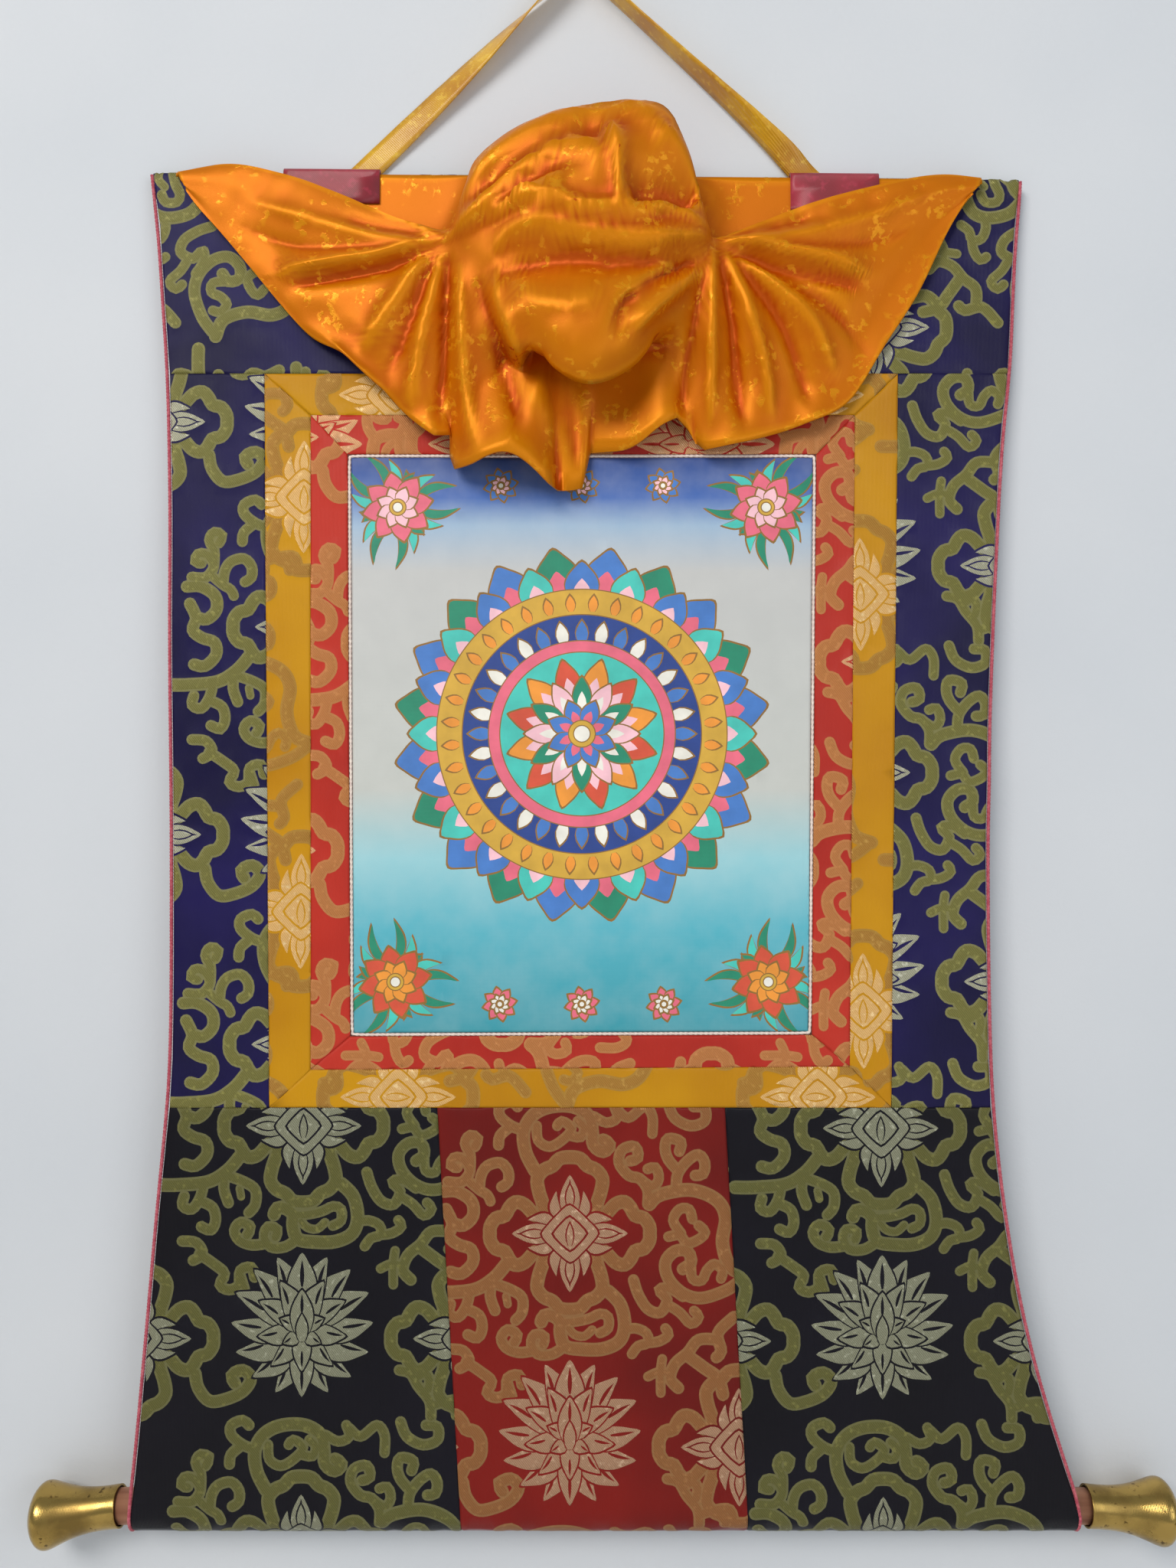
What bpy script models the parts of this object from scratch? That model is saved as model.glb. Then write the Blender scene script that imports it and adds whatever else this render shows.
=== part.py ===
"""A brocade-mounted hanging scroll: sewn cloth panels round a framed picture, a drawn-up
silk veil over the top, a ribbon to hang it by, and a wooden rod with brass knobs below.

Metres, +Z up. The front faces -Y. The origin is the point of the nail that the ribbon
hangs on. A depth is a distance forward of the wall, which stands at WALL_Y.
"""
import math

import bpy
from mathutils import Vector

COLLECTION = "thangka_scroll"

WALL_Y = 0.010
GAP = 0.0003
CLOTH = 0.0012

# The cloth leans out from the wall, from TOP_DEPTH at the top edge to the front of the rod.
TOP_Z = -0.134
TOP_SLOPE = -0.0082
TOP_DEPTH = 0.008
TOP_CORNER_X = -0.275
FOLD_HEIGHT = 0.014

ROD_Z = -0.9894
ROD_DEPTH = 0.0215
ROD_RADIUS = 0.0105
SLEEVE_RADIUS = 0.0135
TAIL_TOP_Z = -0.952

UPPER_SEAM_Z = -0.2660
LOWER_SEAM_Z = -0.7347

# Sides of the scroll: height, left edge, right edge.
SIDES = (
    (-0.131, -0.2760, 0.2865),
    (-0.162, -0.2706, 0.2825),
    (-0.211, -0.2670, 0.2790),
    (-0.261, -0.2630, 0.2768),
    (-0.310, -0.2612, 0.2708),
    (-0.357, -0.2600, 0.2680),
    (-0.456, -0.2590, 0.2625),
    (-0.567, -0.2570, 0.2592),
    (-0.712, -0.2564, 0.2596),
    (-0.759, -0.2600, 0.2627),
    (-0.805, -0.2640, 0.2680),
    (-0.857, -0.2680, 0.2765),
    (-0.907, -0.2720, 0.2883),
    (-0.961, -0.2765, 0.3050),
    (-1.000, -0.2810, 0.3178),
)

# Frames round the picture: corner, and the x and z of the picture, red and yellow outlines.
FRAME_CORNERS = (
    ("top_left", (-0.147, -0.3195), (-0.172, -0.293), (-0.202, UPPER_SEAM_Z)),
    ("top_right", (0.152, -0.3195), (0.178, -0.293), (0.206, UPPER_SEAM_Z)),
    ("bottom_right", (0.147, -0.688), (0.172, -0.709), (0.198, LOWER_SEAM_Z)),
    ("bottom_left", (-0.143, -0.689), (-0.169, -0.711), (-0.195, LOWER_SEAM_Z)),
)
PIPING_RADIUS = 0.0010
PIPING_FORWARD = 0.0004
EDGE_CORD_RADIUS = 0.00125
EDGE_CORD_GAP = 0.0005

# Seams between the three lower panels: x at the lower seam, x at the rod.
LOWER_SEAMS = ((-0.0888, -0.0734), (0.0929, 0.1064))

# Soft cockles in the sewn cloth: x, z, half width, half height, how far forward.
COCKLES = (
    (0.235, -0.317, 0.045, 0.010, 0.0018),
    (0.230, -0.455, 0.050, 0.012, 0.0020),
    (0.235, -0.533, 0.050, 0.012, 0.0022),
    (-0.235, -0.430, 0.030, 0.060, 0.0014),
    (-0.180, -0.840, 0.034, 0.080, 0.0026),
    (-0.030, -0.820, 0.050, 0.060, 0.0014),
    (0.070, -0.850, 0.022, 0.060, 0.0020),
    (0.195, -0.840, 0.036, 0.080, 0.0028),
    (0.000, -0.722, 0.160, 0.010, 0.0010),
)
COCKLE_END_Z = -0.940

# Patches that the ribbon is sewn to: name, left x, right x, bottom z.
PATCHES = (
    ("patch_left", -0.190, -0.128, -0.156),
    ("patch_right", 0.137, 0.194, -0.1605),
)
PATCH_BACK_Z = -0.149
PATCH_DEPTH = 0.0032
PATCH_BACK_DEPTH = 0.0025

# Ribbon centre line: x, depth, z, turn of its width from square to the wall, in degrees.
RIBBON_WIDTH = 0.016
RIBBON_THICKNESS = 0.0009
RIBBON_BEND = 0.0035
RIBBON_LEFT = (
    (-0.1525, 0.0017, -0.1449, 90),
    (-0.1440, 0.0017, -0.1368, 90),
    (-0.1330, 0.0018, -0.1263, 88),
    (-0.1180, 0.0024, -0.1121, 84),
    (-0.0980, 0.0034, -0.0931, 76),
    (-0.0760, 0.0050, -0.0722, 64),
    (-0.0540, 0.0070, -0.0513, 48),
    (-0.0340, 0.0088, -0.0323, 30),
    (-0.0170, 0.0100, -0.0162, 12),
)
RIBBON_RIGHT = (
    (0.0170, 0.0100, -0.0154, 0),
    (0.0360, 0.0100, -0.0327, -2),
    (0.0600, 0.0100, -0.0545, -6),
    (0.0860, 0.0100, -0.0781, -14),
    (0.1100, 0.0098, -0.0998, -26),
    (0.1280, 0.0088, -0.1162, -40),
    (0.1380, 0.0060, -0.1253, -62),
    (0.1450, 0.0022, -0.1317, -86),
    (0.1530, 0.0017, -0.1390, -90),
    (0.1625, 0.0017, -0.1476, -90),
)

# Brass knob, from its dome to its neck: distance along from the neck, radius.
KNOB_PROFILE = (
    (0.0567, 0.0000),
    (0.0562, 0.0060),
    (0.0548, 0.0115),
    (0.0527, 0.0160),
    (0.0500, 0.0191),
    (0.0472, 0.0202),
    (0.0440, 0.0197),
    (0.0390, 0.0178),
    (0.0320, 0.0154),
    (0.0240, 0.0135),
    (0.0160, 0.0127),
    (0.0080, 0.0125),
    (0.0020, 0.0128),
    (0.0000, 0.0127),
    (0.0000, 0.0116),
    (0.0060, 0.0116),
    (0.0060, 0.0000),
)
KNOB_SEGMENTS = 24
# Knobs: name, x of the neck, side, droop in degrees.
KNOBS = (
    ("knob_left", -0.2906, -1, 7),
    ("knob_right", 0.3228, 1, 4),
)
ROD_IN_KNOB = 0.0040

# The veil is a loft between named lines that run across it from its left tip to its right.
# Each row: place along the line from 0 to 1, x, depth, z.
VEIL_COLUMNS = 65
VEIL_ROWS_BETWEEN = 2
VEIL_CLEARANCE = 0.0034
VEIL_SEWN = 0.0016
VEIL_EDGE = (
    (0.00, -0.260, 0.0096, -0.1355),
    (0.30, -0.096, 0.0096, -0.1370),
    (0.70, 0.109, 0.0096, -0.1385),
    (1.00, 0.261, 0.0096, -0.1400),
)
VEIL_LAP = (
    (0.00, -0.259, 0.0100, -0.137),
    (0.08, -0.230, 0.0100, -0.139),
    (0.13, -0.208, 0.0100, -0.150),
    (0.18, -0.180, 0.0100, -0.159),
    (0.24, -0.142, 0.0100, -0.160),
    (0.30, -0.092, 0.0104, -0.164),
    (0.36, -0.066, 0.0140, -0.146),
    (0.42, -0.044, 0.0150, -0.138),
    (0.50, 0.005, 0.0150, -0.137),
    (0.58, 0.052, 0.0150, -0.138),
    (0.64, 0.080, 0.0140, -0.150),
    (0.70, 0.100, 0.0104, -0.167),
    (0.76, 0.140, 0.0102, -0.165),
    (0.84, 0.182, 0.0100, -0.163),
    (0.89, 0.208, 0.0100, -0.153),
    (0.94, 0.238, 0.0100, -0.143),
    (1.00, 0.260, 0.0100, -0.141),
)
VEIL_VALLEY = (
    (0.00, -0.259, 0.0120, -0.138),
    (0.08, -0.229, 0.0124, -0.140),
    (0.13, -0.205, 0.0126, -0.154),
    (0.18, -0.178, 0.0128, -0.166),
    (0.24, -0.138, 0.0136, -0.172),
    (0.30, -0.089, 0.0150, -0.186),
    (0.345, -0.073, 0.0200, -0.170),
    (0.40, -0.051, 0.0260, -0.142),
    (0.50, 0.005, 0.0280, -0.134),
    (0.58, 0.051, 0.0260, -0.142),
    (0.65, 0.078, 0.0200, -0.172),
    (0.70, 0.089, 0.0150, -0.189),
    (0.76, 0.136, 0.0138, -0.177),
    (0.84, 0.181, 0.0132, -0.170),
    (0.89, 0.210, 0.0126, -0.158),
    (0.94, 0.238, 0.0122, -0.146),
    (1.00, 0.260, 0.0120, -0.143),
)
VEIL_CREST = (
    (0.00, -0.257, 0.0140, -0.137),
    (0.08, -0.222, 0.0180, -0.134),
    (0.15, -0.188, 0.0200, -0.141),
    (0.22, -0.148, 0.0220, -0.156),
    (0.27, -0.114, 0.0240, -0.172),
    (0.30, -0.083, 0.0270, -0.183),
    (0.34, -0.074, 0.0340, -0.168),
    (0.38, -0.062, 0.0400, -0.143),
    (0.43, -0.026, 0.0420, -0.121),
    (0.50, 0.017, 0.0440, -0.117),
    (0.55, 0.051, 0.0440, -0.111),
    (0.60, 0.067, 0.0440, -0.136),
    (0.66, 0.082, 0.0340, -0.179),
    (0.70, 0.088, 0.0280, -0.187),
    (0.74, 0.119, 0.0240, -0.173),
    (0.80, 0.148, 0.0220, -0.161),
    (0.87, 0.192, 0.0200, -0.148),
    (0.94, 0.232, 0.0170, -0.140),
    (1.00, 0.259, 0.0140, -0.141),
)
VEIL_BROW = (
    (0.00, -0.256, 0.0150, -0.140),
    (0.08, -0.224, 0.0200, -0.144),
    (0.15, -0.190, 0.0220, -0.156),
    (0.22, -0.154, 0.0250, -0.175),
    (0.30, -0.084, 0.0310, -0.193),
    (0.35, -0.067, 0.0440, -0.183),
    (0.43, -0.030, 0.0600, -0.165),
    (0.50, 0.005, 0.0660, -0.164),
    (0.57, 0.044, 0.0600, -0.161),
    (0.65, 0.076, 0.0440, -0.188),
    (0.70, 0.088, 0.0310, -0.195),
    (0.78, 0.148, 0.0250, -0.182),
    (0.86, 0.187, 0.0220, -0.164),
    (0.93, 0.224, 0.0200, -0.151),
    (1.00, 0.258, 0.0150, -0.146),
)
VEIL_WAIST = (
    (0.00, -0.255, 0.0150, -0.143),
    (0.08, -0.226, 0.0190, -0.153),
    (0.15, -0.194, 0.0210, -0.169),
    (0.22, -0.163, 0.0240, -0.193),
    (0.30, -0.087, 0.0300, -0.204),
    (0.36, -0.060, 0.0440, -0.205),
    (0.43, -0.030, 0.0520, -0.206),
    (0.50, 0.007, 0.0540, -0.204),
    (0.57, 0.045, 0.0520, -0.200),
    (0.64, 0.069, 0.0440, -0.202),
    (0.70, 0.092, 0.0300, -0.206),
    (0.78, 0.155, 0.0250, -0.201),
    (0.86, 0.185, 0.0210, -0.183),
    (0.93, 0.220, 0.0190, -0.158),
    (1.00, 0.257, 0.0150, -0.147),
)
VEIL_BELLY = (
    (0.00, -0.254, 0.0150, -0.144),
    (0.08, -0.228, 0.0180, -0.160),
    (0.15, -0.198, 0.0200, -0.180),
    (0.22, -0.167, 0.0240, -0.206),
    (0.30, -0.092, 0.0300, -0.228),
    (0.36, -0.060, 0.0420, -0.228),
    (0.41, -0.038, 0.0600, -0.239),
    (0.46, -0.013, 0.0700, -0.252),
    (0.50, 0.010, 0.0720, -0.255),
    (0.54, 0.035, 0.0660, -0.244),
    (0.58, 0.054, 0.0560, -0.226),
    (0.63, 0.071, 0.0420, -0.223),
    (0.70, 0.101, 0.0300, -0.235),
    (0.78, 0.160, 0.0240, -0.230),
    (0.86, 0.183, 0.0200, -0.202),
    (0.93, 0.220, 0.0180, -0.164),
    (1.00, 0.256, 0.0150, -0.148),
)
VEIL_CHIN = (
    (0.00, -0.253, 0.0150, -0.146),
    (0.08, -0.230, 0.0170, -0.166),
    (0.15, -0.203, 0.0190, -0.191),
    (0.22, -0.172, 0.0220, -0.219),
    (0.30, -0.099, 0.0300, -0.247),
    (0.36, -0.065, 0.0360, -0.251),
    (0.41, -0.034, 0.0500, -0.257),
    (0.46, -0.010, 0.0560, -0.281),
    (0.50, 0.010, 0.0570, -0.288),
    (0.54, 0.035, 0.0520, -0.275),
    (0.58, 0.056, 0.0460, -0.248),
    (0.63, 0.075, 0.0360, -0.247),
    (0.70, 0.111, 0.0280, -0.258),
    (0.78, 0.164, 0.0220, -0.254),
    (0.86, 0.181, 0.0190, -0.221),
    (0.93, 0.220, 0.0170, -0.171),
    (1.00, 0.255, 0.0150, -0.149),
)
VEIL_TUCK = (
    (0.00, -0.252, 0.0140, -0.147),
    (0.08, -0.232, 0.0160, -0.171),
    (0.15, -0.206, 0.0180, -0.198),
    (0.22, -0.176, 0.0200, -0.230),
    (0.30, -0.105, 0.0260, -0.266),
    (0.36, -0.072, 0.0280, -0.280),
    (0.41, -0.043, 0.0280, -0.263),
    (0.46, -0.013, 0.0260, -0.248),
    (0.50, 0.010, 0.0250, -0.247),
    (0.54, 0.035, 0.0250, -0.250),
    (0.58, 0.057, 0.0270, -0.255),
    (0.63, 0.077, 0.0280, -0.273),
    (0.70, 0.119, 0.0240, -0.279),
    (0.78, 0.168, 0.0190, -0.270),
    (0.86, 0.184, 0.0170, -0.237),
    (0.93, 0.222, 0.0160, -0.180),
    (1.00, 0.254, 0.0140, -0.150),
)
VEIL_HEM = (
    (0.00, -0.252, 0.014, -0.149),
    (0.05, -0.244, 0.015, -0.160),
    (0.10, -0.228, 0.016, -0.178),
    (0.14, -0.208, 0.017, -0.202),
    (0.18, -0.184, 0.018, -0.231),
    (0.21, -0.166, 0.017, -0.249),
    (0.23, -0.152, 0.026, -0.254),
    (0.25, -0.134, 0.028, -0.271),
    (0.265, -0.124, 0.021, -0.279),
    (0.28, -0.119, 0.017, -0.285),
    (0.298, -0.104, 0.028, -0.302),
    (0.315, -0.088, 0.032, -0.312),
    (0.33, -0.080, 0.022, -0.309),
    (0.345, -0.082, 0.018, -0.322),
    (0.36, -0.078, 0.026, -0.331),
    (0.38, -0.063, 0.042, -0.331),
    (0.40, -0.048, 0.050, -0.324),
    (0.42, -0.032, 0.046, -0.330),
    (0.44, -0.016, 0.036, -0.344),
    (0.455, -0.012, 0.022, -0.344),
    (0.47, -0.004, 0.027, -0.345),
    (0.487, 0.004, 0.024, -0.341),
    (0.50, 0.008, 0.018, -0.319),
    (0.52, 0.022, 0.021, -0.319),
    (0.54, 0.036, 0.027, -0.318),
    (0.56, 0.049, 0.036, -0.307),
    (0.58, 0.064, 0.031, -0.300),
    (0.60, 0.072, 0.020, -0.308),
    (0.62, 0.078, 0.023, -0.318),
    (0.65, 0.094, 0.031, -0.317),
    (0.68, 0.114, 0.027, -0.312),
    (0.71, 0.134, 0.021, -0.305),
    (0.74, 0.149, 0.026, -0.300),
    (0.77, 0.164, 0.021, -0.293),
    (0.80, 0.177, 0.018, -0.282),
    (0.84, 0.196, 0.018, -0.250),
    (0.88, 0.217, 0.017, -0.218),
    (0.93, 0.237, 0.016, -0.176),
    (0.97, 0.251, 0.015, -0.153),
    (1.00, 0.253, 0.014, -0.151),
)
VEIL_LINES = (
    VEIL_EDGE,
    VEIL_LAP,
    VEIL_VALLEY,
    VEIL_CREST,
    VEIL_BROW,
    VEIL_WAIST,
    VEIL_BELLY,
    VEIL_CHIN,
    VEIL_TUCK,
    VEIL_HEM,
)

# Finishes: colour, roughness, metallic.
FINISHES = {
    "picture": ((0.55, 0.58, 0.56), 0.50, 0.0),
    "piping": ((0.72, 0.55, 0.48), 0.60, 0.0),
    "red_brocade": ((0.38, 0.02, 0.02), 0.50, 0.0),
    "yellow_brocade": ((0.62, 0.32, 0.02), 0.45, 0.0),
    "navy_brocade": ((0.02, 0.012, 0.08), 0.55, 0.0),
    "edge_cord": ((0.45, 0.08, 0.10), 0.75, 0.0),
    "orange_silk": ((0.72, 0.22, 0.01), 0.35, 0.0),
    "ribbon": ((0.68, 0.38, 0.02), 0.35, 0.0),
    "crimson_cloth": ((0.33, 0.02, 0.05), 0.50, 0.0),
    "wood": ((0.26, 0.12, 0.06), 0.60, 0.0),
    "brass": ((0.60, 0.38, 0.12), 0.28, 1.0),
}


# ---------------------------------------------------------------- helpers

def clear_scene():
    for old in list(bpy.data.objects):
        bpy.data.objects.remove(old, do_unlink=True)


def make_collection():
    collection = bpy.data.collections.new(COLLECTION)
    bpy.context.scene.collection.children.link(collection)
    return collection


def make_material(name, finish):
    colour, roughness, metallic = FINISHES[finish]
    material = bpy.data.materials.new(name + "_" + finish)
    material.use_nodes = True
    shader = material.node_tree.nodes["Principled BSDF"]
    shader.inputs["Base Color"].default_value = (*colour, 1.0)
    shader.inputs["Roughness"].default_value = roughness
    shader.inputs["Metallic"].default_value = metallic
    return material


def add_object(name, data, finish, collection):
    piece = bpy.data.objects.new(name, data)
    piece.data.materials.append(make_material(name, finish))
    collection.objects.link(piece)
    return piece


def mix(a, b, t):
    return a + (b - a) * t


def smooth_row(rows, at):
    """Values of a table at a place along its first column, on one smooth curve."""
    keys = [row[0] for row in rows]
    ascending = keys[-1] > keys[0]
    last = len(rows) - 2
    index = 0
    while index < last and (at > keys[index + 1] if ascending else at < keys[index + 1]):
        index += 1
    before = rows[max(index - 1, 0)]
    start = rows[index]
    end = rows[index + 1]
    after = rows[min(index + 2, len(rows) - 1)]
    span = end[0] - start[0]
    t = min(max((at - start[0]) / span, 0.0), 1.0)
    values = []
    for column in range(1, len(start)):
        slope_in = (end[column] - before[column]) / (end[0] - before[0]) * span
        slope_out = (after[column] - start[column]) / (after[0] - start[0]) * span
        values.append(
            (2 * t ** 3 - 3 * t ** 2 + 1) * start[column]
            + (t ** 3 - 2 * t ** 2 + t) * slope_in
            + (3 * t ** 2 - 2 * t ** 3) * end[column]
            + (t ** 3 - t ** 2) * slope_out
        )
    return values


def smooth_column(points, rows_between):
    """Points of a section, with more between them on one smooth curve."""
    result = []
    for index in range(len(points) - 1):
        before = points[max(index - 1, 0)]
        start = points[index]
        end = points[index + 1]
        after = points[min(index + 2, len(points) - 1)]
        for step in range(rows_between):
            t = step / rows_between
            tangent_in = (end - before) * 0.5
            tangent_out = (after - start) * 0.5
            result.append(
                start * (2 * t ** 3 - 3 * t ** 2 + 1)
                + tangent_in * (t ** 3 - 2 * t ** 2 + t)
                + end * (3 * t ** 2 - 2 * t ** 3)
                + tangent_out * (t ** 3 - t ** 2)
            )
    result.append(points[-1])
    return result


def top_z(x):
    return TOP_Z + TOP_SLOPE * (x - TOP_CORNER_X)


def cockle(x, z):
    """How far the cloth stands forward of its plain lie."""
    forward = 0.0
    for centre_x, centre_z, half_x, half_z, height in COCKLES:
        reach = ((x - centre_x) / half_x) ** 2 + ((z - centre_z) / half_z) ** 2
        forward += height * math.exp(-reach)
    fade = min(max((z - COCKLE_END_Z) / (LOWER_SEAM_Z - COCKLE_END_Z), 0.0), 1.0)
    return forward * fade * (2.0 - fade)


def lie_y(x, z):
    """Y of the front of the sewn cloth."""
    fraction = (TOP_Z - z) / (TOP_Z - ROD_Z)
    depth = mix(TOP_DEPTH, ROD_DEPTH + SLEEVE_RADIUS, fraction)
    return WALL_Y - depth - cockle(x, z)


def on_cloth(x, z, forward=0.0):
    return Vector((x, lie_y(x, z) - forward, z))


def sheet(name, rows, finish, collection, thickness=CLOTH, offset=-1.0, even=True):
    """A cloth of equal thickness behind a grid of points."""
    mesh = bpy.data.meshes.new(name)
    width = len(rows[0])
    points = [point for row in rows for point in row]
    faces = []
    for row in range(len(rows) - 1):
        for column in range(width - 1):
            corner = row * width + column
            faces.append((corner, corner + 1, corner + width + 1, corner + width))
    mesh.from_pydata(points, [], faces)
    mesh.shade_smooth()
    piece = add_object(name, mesh, finish, collection)
    solid = piece.modifiers.new("thickness", "SOLIDIFY")
    solid.thickness = thickness
    solid.offset = offset
    solid.use_even_offset = even
    return piece


def tube(name, points, radius, finish, collection, closed=False):
    curve = bpy.data.curves.new(name, "CURVE")
    curve.dimensions = "3D"
    curve.bevel_depth = radius
    curve.bevel_resolution = 2
    curve.use_fill_caps = not closed
    spline = curve.splines.new("POLY")
    spline.points.add(len(points) - 1)
    for target, point in zip(spline.points, points):
        target.co = (*point, 1.0)
    spline.use_cyclic_u = closed
    return add_object(name, curve, finish, collection)


# ---------------------------------------------------------------- sewn panels

def inset_corners(corners, distances):
    """A four-sided outline moved in: one distance for each side, from corner i to i + 1."""
    lines = []
    for index, distance in enumerate(distances):
        start = Vector(corners[index])
        along = (Vector(corners[(index + 1) % 4]) - start).normalized()
        inward = Vector((along.y, -along.x))
        lines.append((start + inward * distance, along))
    result = []
    for index in range(4):
        point, along = lines[index - 1]
        other, other_along = lines[index]
        cross = along.x * other_along.y - along.y * other_along.x
        step = other - point
        t = (step.x * other_along.y - step.y * other_along.x) / cross
        result.append(point + along * t)
    return result


def four_sided_rows(corners, rows, columns):
    """Grid over top left, top right, bottom right and bottom left corners, bottom row first."""
    top_left, top_right, bottom_right, bottom_left = corners
    grid = []
    for row in range(rows + 1):
        left = bottom_left.lerp(top_left, row / rows)
        right = bottom_right.lerp(top_right, row / rows)
        line = []
        for column in range(columns + 1):
            point = left.lerp(right, column / columns)
            line.append(on_cloth(point.x, point.y))
        grid.append(line)
    return grid


def picture_panel(collection):
    corners = [Vector(row[1]) for row in FRAME_CORNERS]
    inset = inset_corners(corners, [PIPING_RADIUS + GAP] * 4)
    sheet("picture_panel", four_sided_rows(inset, 12, 8), "picture", collection)


def picture_piping(collection):
    corners = [Vector(row[1]) for row in FRAME_CORNERS]
    points = []
    for index, corner in enumerate(corners):
        following = corners[(index + 1) % 4]
        for step in range(8):
            point = corner.lerp(following, step / 8)
            points.append(on_cloth(point.x, point.y, PIPING_FORWARD - CLOTH / 2))
    tube("picture_piping", points, PIPING_RADIUS, "piping", collection, closed=True)


def border(colour, inner, outer, inner_gap, collection):
    """Four mitred strips between two of the frame's outlines."""
    sides = ("top", "right", "bottom", "left")
    for index, side in enumerate(sides):
        start = FRAME_CORNERS[index]
        end = FRAME_CORNERS[(index + 1) % 4]
        outline = [start[outer], end[outer], end[inner], start[inner]]
        half = GAP / 2
        inset = inset_corners(outline, [half, half, inner_gap, half])
        long_steps = 8 if side in ("top", "bottom") else 12
        turned = {
            "top": (0, 1, 2, 3),
            "right": (3, 0, 1, 2),
            "bottom": (2, 3, 0, 1),
            "left": (1, 2, 3, 0),
        }[side]
        ordered = [inset[place] for place in turned]
        across = side in ("top", "bottom")
        rows = four_sided_rows(ordered, 2 if across else long_steps, long_steps if across else 2)
        sheet(f"{colour}_border_{side}", rows, f"{colour}_brocade", collection)


def top_panel(collection):
    """Full width, its top edge folded over to the back."""
    radius = 0.002
    rows = []
    columns = 20
    heights = (0.0, 0.25, 0.5, 0.75, 1.0)
    bottom = UPPER_SEAM_Z + GAP / 2
    for height in heights:
        left_z = mix(bottom, top_z(TOP_CORNER_X) - radius, height)
        right_z = mix(bottom, top_z(-TOP_CORNER_X) - radius, height)
        left = smooth_row(SIDES, left_z)[0]
        right = smooth_row(SIDES, right_z)[1]
        line = []
        for column in range(columns + 1):
            across = column / columns
            line.append(on_cloth(mix(left, right, across), mix(left_z, right_z, across)))
        rows.append(line)
    spring = rows[-1]
    for step in range(1, 6):
        angle = math.pi * step / 5
        line = []
        for point in spring:
            centre = point + Vector((0.0, radius, 0.0))
            line.append(centre + Vector((0.0, -math.cos(angle), math.sin(angle))) * radius)
        rows.append(line)
    rows.append([point - Vector((0.0, 0.0, FOLD_HEIGHT)) for point in rows[-1]])
    sheet("navy_top_panel", rows, "navy_brocade", collection)


def side_strip(name, side, collection):
    """From the scroll's edge to the yellow border."""
    rows = []
    count = 16
    top = FRAME_CORNERS[0 if side < 0 else 1][3]
    bottom = FRAME_CORNERS[3 if side < 0 else 2][3]
    for step in range(count + 1):
        z = mix(LOWER_SEAM_Z + GAP / 2, UPPER_SEAM_Z - GAP / 2, step / count)
        left, right = smooth_row(SIDES, z)
        seam = mix(bottom[0], top[0], (z - bottom[1]) / (top[1] - bottom[1])) + side * GAP / 2
        start, end = (left, seam) if side < 0 else (seam, right)
        rows.append([on_cloth(mix(start, end, part / 4), z) for part in range(5)])
    sheet(name, rows, "navy_brocade", collection)


def lower_seam(index, z):
    top, bottom = LOWER_SEAMS[index]
    return mix(top, bottom, (LOWER_SEAM_Z - z) / (LOWER_SEAM_Z - ROD_Z))


def lower_panel(name, left_of, right_of, finish, columns, collection):
    """Down from the lower seam, round the rod, and sewn to its own back."""
    rows = []
    centre_y = WALL_Y - ROD_DEPTH
    count = 10

    def row_at(z, y=None):
        line = []
        for part in range(columns + 1):
            x = mix(left_of(z), right_of(z), part / columns)
            line.append(on_cloth(x, z) if y is None else Vector((x, y, z)))
        return line

    for step in range(count + 1):
        rows.append(row_at(mix(LOWER_SEAM_Z - GAP / 2, ROD_Z, step / count)))
    tail_y = lie_y(0.0, TAIL_TOP_Z) + 2 * CLOTH + 2 * GAP
    tail = Vector((tail_y - centre_y, TAIL_TOP_Z - ROD_Z))
    leaves_rod = math.atan2(tail.y, tail.x) - math.acos(SLEEVE_RADIUS / tail.length)
    for step in range(1, 15):
        angle = math.pi + (math.pi + leaves_rod) * step / 14
        y = centre_y + SLEEVE_RADIUS * math.cos(angle)
        rows.append(row_at(ROD_Z + SLEEVE_RADIUS * math.sin(angle), y))
    last = rows[-1][0]
    for part in (0.5, 1.0):
        rows.append(row_at(mix(last.z, TAIL_TOP_Z, part), mix(last.y, tail_y, part)))
    rows.reverse()
    sheet(name, rows, finish, collection)


def lower_panels(collection):
    half = GAP / 2

    def left_edge(z):
        return smooth_row(SIDES, z)[0]

    def right_edge(z):
        return smooth_row(SIDES, z)[1]

    lower_panel(
        "navy_lower_left_panel",
        left_edge,
        lambda z: lower_seam(0, z) - half,
        "navy_brocade",
        6,
        collection,
    )
    lower_panel(
        "red_lower_centre_panel",
        lambda z: lower_seam(0, z) + half,
        lambda z: lower_seam(1, z) - half,
        "red_brocade",
        6,
        collection,
    )
    lower_panel(
        "navy_lower_right_panel",
        lambda z: lower_seam(1, z) + half,
        right_edge,
        "navy_brocade",
        6,
        collection,
    )


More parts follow.
